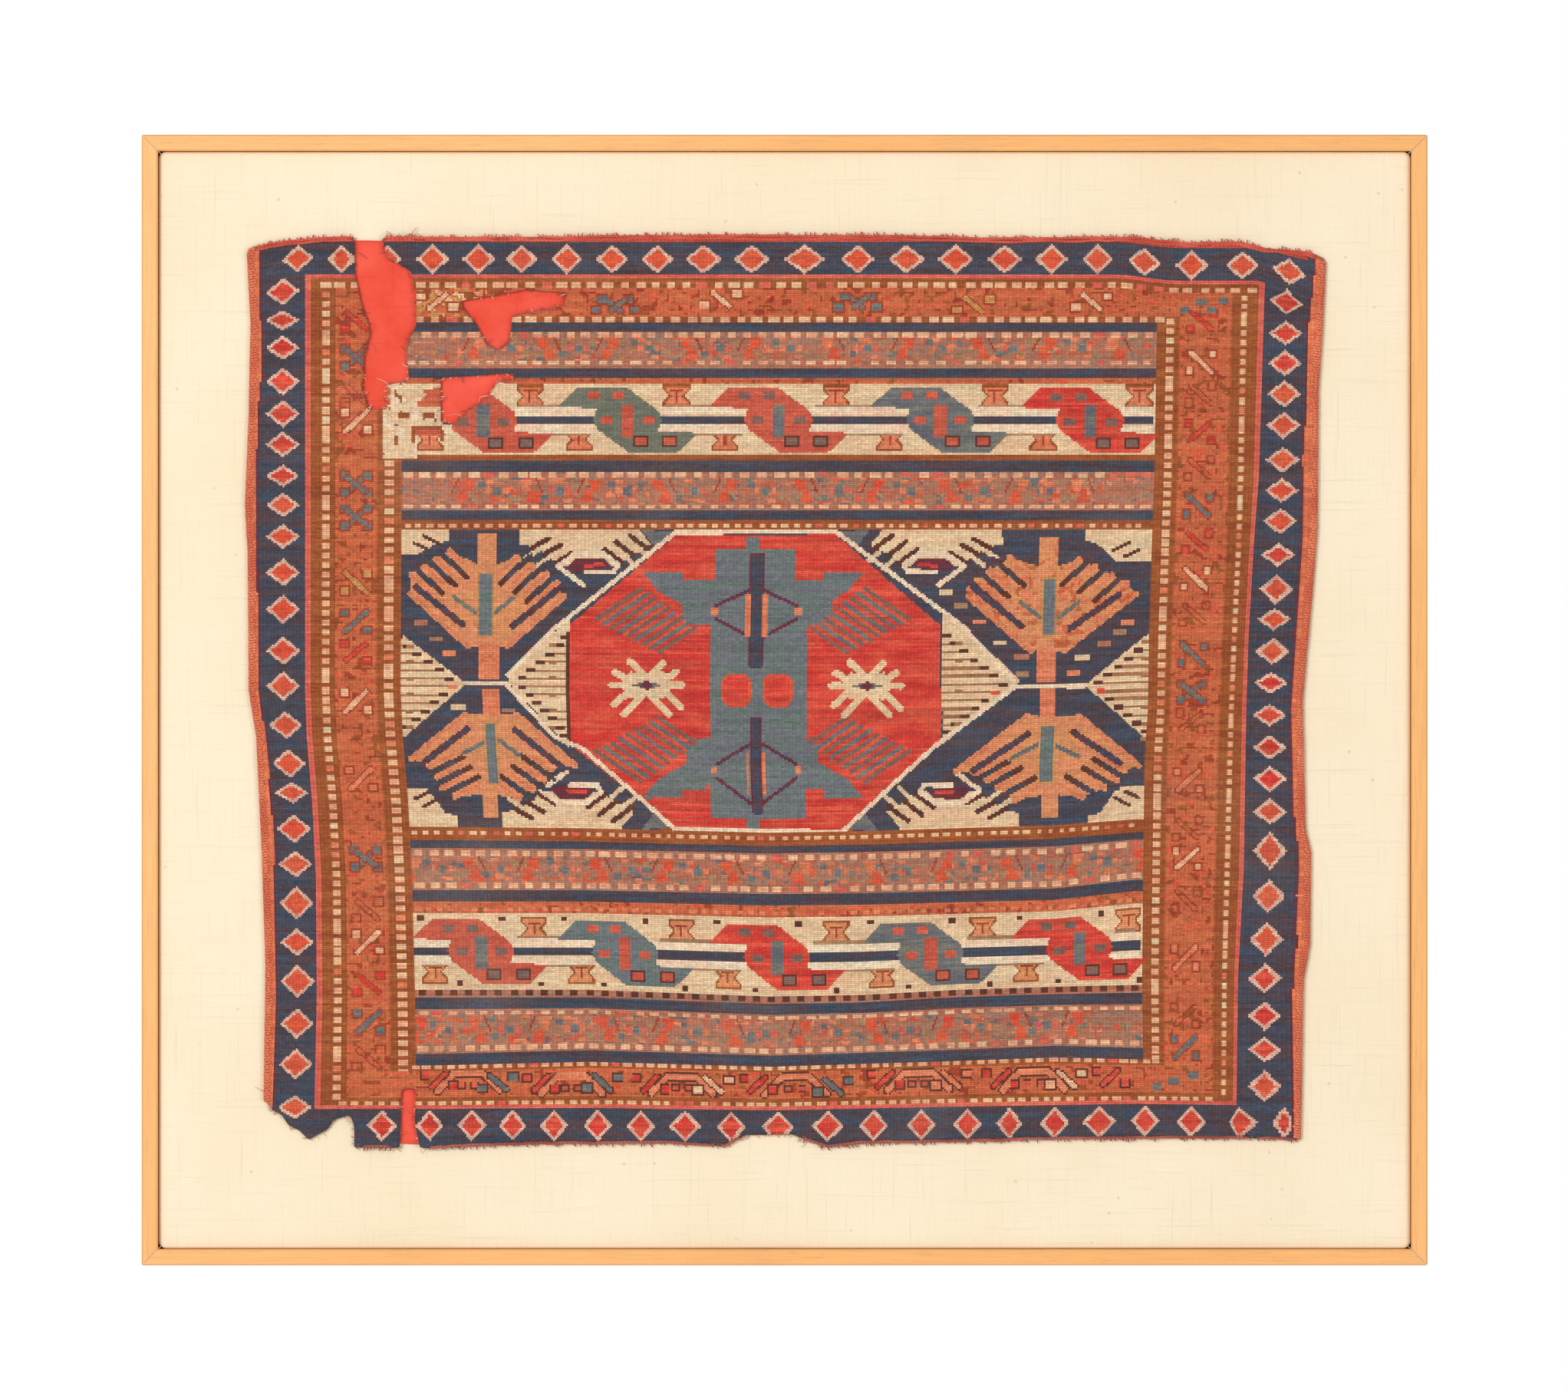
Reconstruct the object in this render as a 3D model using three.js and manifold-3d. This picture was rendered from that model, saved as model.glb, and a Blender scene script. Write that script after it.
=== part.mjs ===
import * as THREE from 'three';
import { mergeVertices } from 'three/addons/utils/BufferGeometryUtils.js';
import Module from 'manifold-3d';

const wasm = await Module();
wasm.setup();

// A framed soumak bag face: a worn woollen bag face on a linen panel in a slim wooden floater frame.
// Sizes are millimetres. X runs to the right, Y to the back and Z up.
// The origin is on the top rail's back face, at its middle, where the wall fixing goes.
// Places on the panel are given from the frame's centre, across to the right and up.

// Wooden frame
const FRAME_WIDTH = 690;
const FRAME_HEIGHT = 606.5;
const RAIL_FACE = 8.6;
const RAIL_DEPTH = 28;
const RAIL_ARRIS = 0.8;
const LEDGE_REACH = 12;
const LEDGE_THICK = 5;
const MITRE_GAP = 0.3;
const FIXING_DROP = (RAIL_FACE + LEDGE_REACH) / 2;

// Linen panel in the frame
const REST_GAP = 0.3;
const PANEL_SLOT = { left: 1.3, right: 1.3, top: 1.3, bottom: 0.5 };
const PANEL_CORNER = 3;
const LINEN_THICK = 1;
const LINEN_TURN_IN = 32;
const LINEN_FRONT = -23;
const LINEN_BACK = -LEDGE_THICK - REST_GAP;
const CORNER_STEPS = 4;

// Red cloth patches behind the holes
const PATCH_THICK = 1;
const PATCHES = [
  { name: 'patch_upper', left: -241, right: -105, bottom: 136, top: 247 },
  { name: 'patch_lower', left: -214, right: -187, bottom: -239, top: -199 },
];
const PATCH_SKEW = 1.5;

// Bag face
const BAG_THICK = 2.2;
const RIPPLE_HEIGHT = 0.5;
const RIPPLE_ACROSS = 190;
const RIPPLE_UP = 165;
const RIPPLE_TURN = 0.7;
const EASE_LENGTH = 16;
const EASE_MARGIN = 2.5;
const GRID_STEP = 30;
const GRID_HALF = { across: 300, up: 262 };

// The four edges of the bag face, read anticlockwise from the upper left corner
const LEFT_EDGE = [
  { across: -288, up: 239.5 },
  { across: -286, up: 202.5 },
  { across: -287, up: 153 },
  { across: -289, up: 104 },
  { across: -287.5, up: 79 },
  { across: -287, up: 5 },
  { across: -283, up: -19.5 },
  { across: -280, up: -81.5 },
  { across: -278, up: -143 },
  { across: -279, up: -214.5 },
];
const BOTTOM_EDGE = [
  { across: -279, up: -239.5 },
  { across: -188.5, up: -240.5 },
  { across: -133, up: -238 },
  { across: -59, up: -238 },
  { across: -32, up: -239.5 },
  { across: -21, up: -233.5 },
  { across: 4, up: -233 },
  { across: 17, up: -238 },
  { across: 23, up: -240 },
  { across: 42, up: -238 },
  { across: 157.5, up: -235.5 },
  { across: 244, up: -235 },
];
const RIGHT_EDGE = [
  { across: 276.5, up: -236 },
  { across: 278, up: -150 },
  { across: 281.5, up: -131 },
  { across: 282, up: -81.5 },
  { across: 279, up: -69 },
  { across: 277.5, up: 0 },
  { across: 282.5, up: 54.5 },
  { across: 285.5, up: 91.5 },
  { across: 286, up: 165.5 },
  { across: 288.5, up: 202.5 },
];
const TOP_EDGE = [
  { across: 290, up: 237 },
  { across: 281, up: 240.5 },
  { across: 258, up: 242.5 },
  { across: 244, up: 246 },
  { across: 215, up: 245.5 },
  { across: 186, up: 248.5 },
  { across: 114, up: 248 },
  { across: 56.5, up: 249.5 },
  { across: -1, up: 251 },
  { across: -133, up: 248.5 },
  { across: -246, up: 248.5 },
  { across: -275, up: 245.5 },
  { across: -286.5, up: 243 },
];

// What has worn away: two holes, a torn notch open at the top, a slit and a corner open at the bottom
const LOSSES = [
  {
    name: 'torn notch',
    rim: [
      { across: -231, up: 256 },
      { across: -230.5, up: 228.5 },
      { across: -227, up: 212.5 },
      { across: -222, up: 198 },
      { across: -225.5, up: 185 },
      { across: -226.5, up: 168 },
      { across: -223.5, up: 156 },
      { across: -213, up: 156 },
      { across: -213, up: 169 },
      { across: -201.5, up: 171.5 },
      { across: -203, up: 189 },
      { across: -197.5, up: 202 },
      { across: -197.5, up: 216 },
      { across: -200.5, up: 230 },
      { across: -213.5, up: 237.5 },
      { across: -217.5, up: 256 },
    ],
  },
  {
    name: 'forked hole',
    rim: [
      { across: -173.5, up: 214 },
      { across: -172.5, up: 210 },
      { across: -165.5, up: 202 },
      { across: -160.5, up: 191.5 },
      { across: -153.5, up: 187.5 },
      { across: -147.5, up: 191.5 },
      { across: -146, up: 206 },
      { across: -136, up: 208 },
      { across: -118.5, up: 211.5 },
      { across: -116.5, up: 218.5 },
      { across: -140, up: 220 },
      { across: -152.5, up: 217.5 },
    ],
  },
  {
    name: 'lower hole',
    rim: [
      { across: -184.5, up: 173 },
      { across: -184.5, up: 149.5 },
      { across: -177.5, up: 148 },
      { across: -168, up: 157 },
      { across: -159.5, up: 162 },
      { across: -154, up: 170.5 },
      { across: -144.5, up: 172 },
      { across: -146, up: 175.5 },
      { across: -165.5, up: 174 },
    ],
  },
  {
    name: 'slit',
    rim: [
      { across: -205.5, up: -208.5 },
      { across: -206, up: -228 },
      { across: -207, up: -248 },
      { across: -194, up: -248 },
      { across: -196.5, up: -236 },
      { across: -198.5, up: -226.5 },
      { across: -197.5, up: -208.5 },
    ],
  },
  {
    name: 'lost corner',
    rim: [
      { across: -290, up: -210 },
      { across: -290, up: -250 },
      { across: -231, up: -250 },
      { across: -231, up: -228 },
      { across: -233.5, up: -222.5 },
      { across: -242, up: -225.5 },
      { across: -245.5, up: -230.5 },
      { across: -255.5, up: -236 },
      { across: -260.5, up: -231 },
      { across: -266.5, up: -228 },
      { across: -270, up: -222.5 },
      { across: -275, up: -220 },
      { across: -279, up: -214.5 },
    ],
  },
];

const MATERIALS = {
  wood: new THREE.MeshStandardMaterial({ color: 0xf6c183, roughness: 0.55, metalness: 0 }),
  board: new THREE.MeshStandardMaterial({ color: 0xd9d2c2, roughness: 0.9, metalness: 0 }),
  linen: new THREE.MeshStandardMaterial({ color: 0xf8ebd0, roughness: 0.95, metalness: 0 }),
  red: new THREE.MeshStandardMaterial({ color: 0xe2473a, roughness: 0.95, metalness: 0 }),
  wool: new THREE.MeshStandardMaterial({ color: 0xa8503a, roughness: 0.95, metalness: 0 }),
};

const points = (rows) => rows.map((row) => new THREE.Vector2(row.across, row.up));

// A flat plate: an outline seen from the front, from one depth back to another
function plate(shape, front, back) {
  const geometry = new THREE.ExtrudeGeometry(shape, {
    depth: back - front,
    bevelEnabled: false,
    curveSegments: CORNER_STEPS,
  });
  geometry.rotateX(Math.PI / 2);
  geometry.translate(0, back, 0);
  return geometry;
}

function roundedRectangle(left, right, bottom, top, radius) {
  const shape = new THREE.Shape();
  shape.absarc(right - radius, bottom + radius, radius, -Math.PI / 2, 0);
  shape.absarc(right - radius, top - radius, radius, 0, Math.PI / 2);
  shape.absarc(left + radius, top - radius, radius, Math.PI / 2, Math.PI);
  shape.absarc(left + radius, bottom + radius, radius, Math.PI, (3 * Math.PI) / 2);
  shape.closePath();
  return shape;
}

function toSolid(geometry) {
  const bare = geometry.clone();
  bare.deleteAttribute('normal');
  bare.deleteAttribute('uv');
  const merged = mergeVertices(bare, 1e-4);
  return new wasm.Manifold(
    new wasm.Mesh({
      numProp: 3,
      vertProperties: new Float32Array(merged.attributes.position.array),
      triVerts: new Uint32Array(merged.index.array),
    }),
  );
}

function toGeometry(solid) {
  const mesh = solid.getMesh();
  const geometry = new THREE.BufferGeometry();
  geometry.setAttribute('position', new THREE.BufferAttribute(new Float32Array(mesh.vertProperties), 3));
  geometry.setIndex(new THREE.BufferAttribute(new Uint32Array(mesh.triVerts), 1));
  geometry.computeVertexNormals();
  return geometry;
}

// One rail lies along X with its outer edge at the top; its ends are cut to the mitre
function railGeometry(length) {
  const reach = RAIL_FACE + LEDGE_REACH;
  const profile = new THREE.Shape();
  profile.moveTo(0, 0);
  profile.lineTo(0, RAIL_ARRIS - RAIL_DEPTH);
  profile.lineTo(RAIL_ARRIS, -RAIL_DEPTH);
  profile.lineTo(RAIL_FACE - RAIL_ARRIS, -RAIL_DEPTH);
  profile.lineTo(RAIL_FACE, RAIL_ARRIS - RAIL_DEPTH);
  profile.lineTo(RAIL_FACE, -LEDGE_THICK);
  profile.lineTo(reach, -LEDGE_THICK);
  profile.lineTo(reach, 0);
  profile.closePath();
  const geometry = new THREE.ExtrudeGeometry(profile, { depth: 1, bevelEnabled: false });
  const place = geometry.attributes.position;
  for (let i = 0; i < place.count; i += 1) {
    const inward = place.getX(i);
    const halfLength = length / 2 - inward - MITRE_GAP * Math.SQRT1_2;
    place.setXYZ(i, (2 * place.getZ(i) - 1) * halfLength, place.getY(i), -inward);
  }
  geometry.computeVertexNormals();
  return geometry;
}

function rail(name, length, turn, across, up) {
  const mesh = new THREE.Mesh(railGeometry(length), MATERIALS.wood.clone());
  mesh.name = name;
  mesh.rotation.y = turn;
  mesh.position.set(across, 0, up);
  return mesh;
}

function makeFrame() {
  const frame = new THREE.Group();
  frame.add(rail('frame_top', FRAME_WIDTH, 0, 0, FRAME_HEIGHT / 2));
  frame.add(rail('frame_right', FRAME_HEIGHT, Math.PI / 2, FRAME_WIDTH / 2, 0));
  frame.add(rail('frame_bottom', FRAME_WIDTH, Math.PI, 0, -FRAME_HEIGHT / 2));
  frame.add(rail('frame_left', FRAME_HEIGHT, -Math.PI / 2, -FRAME_WIDTH / 2, 0));
  return frame;
}

// The panel's outline, drawn in from the linen's outer face by a given amount
function panelOutline(inset) {
  const half = { across: FRAME_WIDTH / 2 - RAIL_FACE, up: FRAME_HEIGHT / 2 - RAIL_FACE };
  return roundedRectangle(
    -half.across + PANEL_SLOT.left + inset,
    half.across - PANEL_SLOT.right - inset,
    -half.up + PANEL_SLOT.bottom + inset,
    half.up - PANEL_SLOT.top - inset,
    Math.max(PANEL_CORNER - inset, 1),
  );
}

function makeBoard() {
  const front = LINEN_FRONT + LINEN_THICK + REST_GAP;
  const back = LINEN_BACK - LINEN_THICK - REST_GAP;
  const mesh = new THREE.Mesh(plate(panelOutline(LINEN_THICK + REST_GAP), front, back), MATERIALS.board);
  mesh.name = 'mount_board';
  return mesh;
}

// The linen wraps the board's front and sides and is turned in at the back, where it leaves a window
function makeGroundCloth() {
  const wrap = toSolid(plate(panelOutline(0), LINEN_FRONT, LINEN_BACK));
  const inside = toSolid(plate(panelOutline(LINEN_THICK), LINEN_FRONT + LINEN_THICK, LINEN_BACK - LINEN_THICK));
  const window = toSolid(plate(panelOutline(LINEN_TURN_IN), LINEN_BACK - 2 * LINEN_THICK, 0));
  const mesh = new THREE.Mesh(toGeometry(wrap.subtract(inside).subtract(window)), MATERIALS.linen);
  mesh.name = 'ground_cloth';
  return mesh;
}

// A patch is cut by eye, so its corners are a little out of square
function makePatch(patch) {
  const shape = new THREE.Shape();
  shape.moveTo(patch.left, patch.bottom + PATCH_SKEW);
  shape.lineTo(patch.right - PATCH_SKEW, patch.bottom);
  shape.lineTo(patch.right, patch.top - PATCH_SKEW);
  shape.lineTo(patch.left + PATCH_SKEW, patch.top);
  shape.closePath();
  const back = LINEN_FRONT - REST_GAP;
  const mesh = new THREE.Mesh(plate(shape, back - PATCH_THICK, back), MATERIALS.red.clone());
  mesh.name = patch.name;
  return mesh;
}

// 0 away from a stretch, 1 over it, with an even slope on both sides
function easeOver(place, low, high) {
  const start = low - EASE_MARGIN;
  const end = high + EASE_MARGIN;
  const outside = Math.max(start - place, place - end, 0);
  return Math.max(1 - outside / EASE_LENGTH, 0);
}

// How far the bag face's back stands off the linen
function standOff(across, up) {
  let over = 0;
  for (const patch of PATCHES) {
    over = Math.max(over, easeOver(across, patch.left, patch.right) * easeOver(up, patch.bottom, patch.top));
  }
  const waveAcross = Math.sin((2 * Math.PI * across) / RIPPLE_ACROSS + RIPPLE_TURN);
  const waveUp = Math.sin((2 * Math.PI * up) / RIPPLE_UP - RIPPLE_TURN);
  const ripple = (RIPPLE_HEIGHT * (1 + waveAcross * waveUp)) / 2;
  return REST_GAP + over * (PATCH_THICK + REST_GAP) + ripple;
}

// Grid lines at an even step, with extra ones where the cloth starts and ends its climb over a patch
function gridLines(half, stretches) {
  const lines = [];
  for (let place = -half; place <= half; place += GRID_STEP) {
    lines.push(place);
  }
  const bends = [];
  for (const [low, high] of stretches) {
    const start = low - EASE_MARGIN;
    const end = high + EASE_MARGIN;
    bends.push(start - EASE_LENGTH, start, end, end + EASE_LENGTH);
  }
  const inside = bends.filter((place) => Math.abs(place) < half);
  const clear = lines.filter((place) => inside.every((bend) => Math.abs(bend - place) > GRID_STEP / 5));
  return [...clear, ...inside].sort((a, b) => a - b);
}

// The rippled cloth before it is cut to its outline: a closed slab whose two faces follow the same form
function makeRippledSlab() {
  const columns = gridLines(GRID_HALF.across, PATCHES.map((patch) => [patch.left, patch.right]));
  const rows = gridLines(GRID_HALF.up, PATCHES.map((patch) => [patch.bottom, patch.top]));
  const slab = new THREE.BoxGeometry(2, 2, 2, columns.length - 1, 1, rows.length - 1);
  const place = slab.attributes.position;
  for (let i = 0; i < place.count; i += 1) {
    const column = Math.round(((place.getX(i) + 1) / 2) * (columns.length - 1));
    const row = Math.round(((place.getZ(i) + 1) / 2) * (rows.length - 1));
    const across = columns[column];
    const up = rows[row];
    const back = LINEN_FRONT - standOff(across, up);
    const isFront = place.getY(i) < 0;
    place.setXYZ(i, across, isFront ? back - BAG_THICK : back, up);
  }
  return toSolid(slab);
}

function makeBagFace() {
  const cutFront = LINEN_FRONT - RAIL_DEPTH;
  const cutBack = LINEN_FRONT + RAIL_DEPTH;
  const rim = new THREE.Shape(points([...LEFT_EDGE, ...BOTTOM_EDGE, ...RIGHT_EDGE, ...TOP_EDGE]));
  let face = makeRippledSlab().intersect(toSolid(plate(rim, cutFront, cutBack)));
  for (const loss of LOSSES) {
    face = face.subtract(toSolid(plate(new THREE.Shape(points(loss.rim)), cutFront, cutBack)));
  }
  const mesh = new THREE.Mesh(toGeometry(face), MATERIALS.wool);
  mesh.name = 'bag_face';
  return mesh;
}

const picture = new THREE.Group();
picture.position.z = FIXING_DROP - FRAME_HEIGHT / 2;
picture.add(makeFrame());
picture.add(makeBoard());
picture.add(makeGroundCloth());
for (const patch of PATCHES) {
  picture.add(makePatch(patch));
}
picture.add(makeBagFace());

const framedBagFace = new THREE.Group();
framedBagFace.add(picture);

export default framedBagFace;
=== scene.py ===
import bpy
import numpy as np
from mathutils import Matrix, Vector
from mathutils.bvhtree import BVHTree


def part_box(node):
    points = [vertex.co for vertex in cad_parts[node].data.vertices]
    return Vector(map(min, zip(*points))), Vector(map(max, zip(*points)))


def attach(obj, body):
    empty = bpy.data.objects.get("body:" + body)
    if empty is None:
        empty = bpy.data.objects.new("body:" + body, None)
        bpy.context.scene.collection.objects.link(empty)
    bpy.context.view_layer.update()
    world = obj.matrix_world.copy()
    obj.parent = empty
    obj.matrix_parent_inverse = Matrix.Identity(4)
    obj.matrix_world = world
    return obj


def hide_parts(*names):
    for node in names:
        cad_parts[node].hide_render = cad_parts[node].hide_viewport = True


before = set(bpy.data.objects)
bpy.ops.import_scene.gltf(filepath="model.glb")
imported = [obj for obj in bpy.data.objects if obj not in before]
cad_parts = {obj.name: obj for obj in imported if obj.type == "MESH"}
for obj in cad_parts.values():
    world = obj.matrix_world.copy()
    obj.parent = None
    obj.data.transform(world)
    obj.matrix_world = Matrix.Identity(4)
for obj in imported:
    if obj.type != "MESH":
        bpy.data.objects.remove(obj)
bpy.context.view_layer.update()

# A worn soumak bag face on a linen panel in a slim wooden floater frame.
# Metres; X to the right, Y to the back, Z up; the origin is on the top rail's back face.
# Places on the cloth come from its chart: one unit is 0.41157 mm, u runs right and v down.
MM = 0.001
CHART_UNIT = 0.41157 * MM
CHART_MIDDLE = (1022.75, 912.25)
FRAME_MIDDLE_UP = -292.95 * MM
CELL = 2.5
CHART_LEFT, CHART_RIGHT = 300.0, 1750.0
CHART_TOP, CHART_BOTTOM = 285.0, 1515.0
SEED = 41
HALF_TURN = 3.14159


# Shader building
class Wire:
    """A node's output; sums, products and the like of wires and numbers make the math nodes for them."""

    def __init__(self, look, socket):
        self.look, self.socket = look, socket

    def __add__(self, other):
        return self.look.math("ADD", self, other)

    def __sub__(self, other):
        return self.look.math("SUBTRACT", self, other)

    def __mul__(self, other):
        return self.look.math("MULTIPLY", self, other)

    def __pow__(self, other):
        return self.look.math("POWER", self, other)

    def __abs__(self):
        return self.look.math("ABSOLUTE", self)


class Shader:
    """A material with its node tree, and short calls for the nodes that the looks need."""

    def __init__(self, name):
        self.material = bpy.data.materials.new(name)
        self.material.use_nodes = True
        self.tree = self.material.node_tree
        self.surface = self.tree.nodes["Principled BSDF"]

    def node(self, kind, **settings):
        made = self.tree.nodes.new(kind)
        for name, value in settings.items():
            setattr(made, name, value)
        return made

    def feed(self, socket, value):
        value = value.socket if isinstance(value, Wire) else value
        if isinstance(value, bpy.types.NodeSocket):
            self.tree.links.new(value, socket)
        else:
            socket.default_value = value

    def fed(self, made, values, output=0):
        """Feeds a node's inputs, from the first, and gives one of its outputs."""
        for socket, value in zip(made.inputs, values):
            self.feed(socket, value)
        return Wire(self, made.outputs[output])

    def math(self, operation, *values):
        return self.fed(self.node("ShaderNodeMath", operation=operation), values)

    def hump(self, value):
        """A wave that rises and falls once for each whole number."""
        return self.math("SINE", self.math("MULTIPLY", value, HALF_TURN))

    def mix(self, share, first, second, blend="MIX"):
        made = self.node("ShaderNodeMix", data_type="RGBA", blend_type=blend)
        for place, value in ((0, share), (6, first), (7, second)):
            self.feed(made.inputs[place], value)
        return Wire(self, made.outputs[2])

    def shaded(self, colour, shade):
        """A colour made darker or lighter by one value."""
        grey = self.fed(self.node("ShaderNodeCombineColor"), [shade] * 3)
        return self.mix(1.0, colour, grey, "MULTIPLY")

    def place(self, scale=(1, 1, 1)):
        made = self.node("ShaderNodeMapping")
        self.feed(made.inputs["Vector"], self.node("ShaderNodeTexCoord").outputs["Object"])
        made.inputs["Scale"].default_value = scale
        return Wire(self, made.outputs[0])

    def uv(self, name):
        return self.node("ShaderNodeUVMap", uv_map=name).outputs[0]

    def parts(self, vector):
        """A vector's three numbers."""
        made = self.node("ShaderNodeSeparateXYZ")
        self.feed(made.inputs[0], vector)
        return [Wire(self, socket) for socket in made.outputs]

    def noise(self, vector, scale, detail=3, rough=0.5, distort=0):
        made = self.node("ShaderNodeTexNoise")
        self.feed(made.inputs["Vector"], vector)
        values = {"Scale": scale, "Detail": detail, "Roughness": rough, "Distortion": distort}
        for name, value in values.items():
            made.inputs[name].default_value = value
        return Wire(self, made.outputs[0])

    def spread(self, value, low, high, out_low=0, out_high=1):
        """A value's run from low to high, spread over the given run of results."""
        return self.fed(self.node("ShaderNodeMapRange", clamp=True), (value, low, high, out_low, out_high))

    def bump(self, height, depth, strength=1.0, under=None):
        made = self.node("ShaderNodeBump")
        made.inputs["Distance"].default_value = depth
        made.inputs["Strength"].default_value = strength
        self.feed(made.inputs["Height"], height)
        if under is not None:
            self.feed(made.inputs["Normal"], under)
        return made.outputs[0]

    def finish(self, colour, rough, normal=None, **steady):
        self.feed(self.surface.inputs["Base Color"], colour)
        self.feed(self.surface.inputs["Roughness"], rough)
        if normal is not None:
            self.feed(self.surface.inputs["Normal"], normal)
        for name, value in steady.items():
            self.surface.inputs[name.replace("_", " ")].default_value = value
        return self.material


def as_light(screen):
    """Screen values from 0 to 1 as a shader's light values."""
    return np.where(screen <= 0.04045, screen / 12.92, ((screen + 0.055) / 1.055) ** 2.4)


def paint(red, green, blue):
    return (*as_light(np.array([red, green, blue]) / 255).tolist(), 1.0)


# Each yarn: its main tone, the tone that it drifts to, and how streaky its rows are
YARNS = {
    "navy": ((86, 67, 72), (67, 76, 93), 0.11),
    "crimson": ((186, 72, 56), (206, 88, 68), 0.08),
    "pink": ((222, 112, 90), (214, 90, 78), 0.06),
    "rust": ((204, 110, 70), (200, 98, 64), 0.09),
    "rust_deep": ((170, 76, 46), (160, 62, 42), 0.06),
    "brown": ((168, 94, 50), (152, 77, 40), 0.07),
    "bead": ((236, 192, 150), (226, 154, 120), 0.06),
    "ivory": ((230, 202, 162), (228, 186, 148), 0.06),
    "blush": ((242, 202, 172), (236, 216, 184), 0.05),
    "lozenge": ((212, 84, 60), (222, 100, 66), 0.06),
    "lozenge_edge": ((226, 188, 166), (220, 164, 146), 0.06),
    "teal": ((106, 120, 114), (114, 115, 123), 0.07),
    "slate": ((104, 104, 112), (124, 122, 110), 0.06),
    "tan": ((217, 145, 94), (222, 139, 101), 0.06),
    "coral": ((230, 136, 102), (216, 118, 80), 0.06),
    "coral_red": ((208, 98, 74), (196, 84, 66), 0.08),
    "red": ((206, 58, 50), (220, 88, 66), 0.11),
    "flame": ((224, 94, 60), (216, 78, 56), 0.06),
    "maroon": ((118, 48, 54), (96, 56, 76), 0.06),
    "umber": ((106, 58, 40), (88, 52, 48), 0.06),
    "gold": ((208, 152, 88), (198, 132, 78), 0.05),
    "faded": ((184, 110, 86), (166, 121, 100), 0.08),
    "thread": ((176, 136, 100), (160, 118, 88), 0.05),
    "comb_line": ((158, 104, 72), (176, 122, 88), 0.08),
    "edge": ((230, 130, 88), (214, 106, 74), 0.08),
    "moss": ((108, 112, 98), (118, 118, 102), 0.06),
    "dusk": ((140, 98, 86), (122, 98, 92), 0.06),
}
YARN_INDEX = {name: place for place, name in enumerate(YARNS)}


class Chart:
    """A grid of stitches, each holding the number of its yarn."""

    def __init__(self):
        self.columns = round((CHART_RIGHT - CHART_LEFT) / CELL)
        self.rows = round((CHART_BOTTOM - CHART_TOP) / CELL)
        self.u = CHART_LEFT + CELL * (np.arange(self.columns) + 0.5)
        self.v = CHART_TOP + CELL * (np.arange(self.rows) + 0.5)
        self.yarn = np.full((self.rows, self.columns), YARN_INDEX["navy"], dtype=np.int16)
        self.worn = False

    def laid(self, points, centre=(0, 0), flip=(1, 1)):
        """Points given from a motif's centre, mirrored where a flip is -1.

        While worn is set, they are given as they lie on the worn cloth."""
        points = [(centre[0] + flip[0] * u, centre[1] + flip[1] * v) for u, v in points]
        return [straightened(u, v) for u, v in points] if self.worn else points

    def window(self, left, top, right, bottom):
        columns, rows = np.searchsorted(self.u, (left, right)), np.searchsorted(self.v, (top, bottom))
        return slice(*rows), slice(*columns)

    def block(self, left, top, right, bottom, yarn):
        (left, top), (right, bottom) = self.laid([(left, top), (right, bottom)])
        self.yarn[self.window(left, top, right, bottom)] = YARN_INDEX[yarn]

    def blocks(self, boxes, yarn):
        for box in boxes:
            self.block(*box, yarn)

    def spot(self, u, v, wide, tall, yarn):
        """A block given by its middle and half its size."""
        self.block(u - wide, v - tall, u + wide, v + tall, yarn)

    def polygon(self, points, yarn, centre=(0, 0), flip=(1, 1)):
        points = self.laid(points, centre, flip)
        us, vs = zip(*points)
        area = self.window(min(us), min(vs), max(us), max(vs))
        u, v = np.meshgrid(self.u[area[1]], self.v[area[0]])
        inside = np.zeros(u.shape, dtype=bool)
        for (u0, v0), (u1, v1) in zip(points, points[1:] + points[:1]):
            if v0 != v1:
                inside ^= ((v0 > v) != (v1 > v)) & (u < (u1 - u0) * (v - v0) / (v1 - v0) + u0)
        self.yarn[area][inside] = YARN_INDEX[yarn]

    def stroke(self, points, width, yarn, centre=(0, 0), flip=(1, 1)):
        points = self.laid(points, centre, flip)
        reach = width / 2
        for (u0, v0), (u1, v1) in zip(points, points[1:]):
            area = self.window(
                min(u0, u1) - reach, min(v0, v1) - reach, max(u0, u1) + reach, max(v0, v1) + reach
            )
            u, v = np.meshgrid(self.u[area[1]], self.v[area[0]])
            along = ((u - u0) * (u1 - u0) + (v - v0) * (v1 - v0)) / ((u1 - u0) ** 2 + (v1 - v0) ** 2)
            along = np.clip(along, 0, 1)
            gap = np.hypot(u - u0 - along * (u1 - u0), v - v0 - along * (v1 - v0))
            self.yarn[area][gap <= reach] = YARN_INDEX[yarn]

    def edged(self, points, width, edge, inner_width, yarn, centre=(0, 0)):
        """A stroke with an edge of another yarn."""
        self.stroke(points, width, edge, centre)
        self.stroke(points, inner_width, yarn, centre)


def both_halves(right):
    """A shape from its right half, given from top to bottom."""
    return right + [(-u, v) for u, v in reversed(right)]


# Rows of dashes and columns of beads
def dash_row(chart, left, right, centre, pitch, size, yarn, dice):
    half_tall = size[1] / 2
    for u in np.arange(left + pitch / 2, right, pitch):
        u += dice.uniform(-0.1, 0.1) * pitch
        wide = size[0] * dice.uniform(0.75, 1.2) / 2
        tone = yarn if dice.random() < 0.9 else "pink"
        chart.block(u - wide, centre - half_tall, min(u + wide, right), centre + half_tall, tone)


def bead_column(chart, centre, top, bottom, wide, dice):
    v = top
    while v < bottom:
        tall = 7.8 if dice.random() < 0.93 else 20.3
        tone = "bead" if dice.random() < 0.8 else ("coral", "ivory")[dice.integers(2)]
        chart.block(centre - wide / 2, v, centre + wide / 2, min(v + tall, bottom), tone)
        v += tall + 4.8


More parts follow.
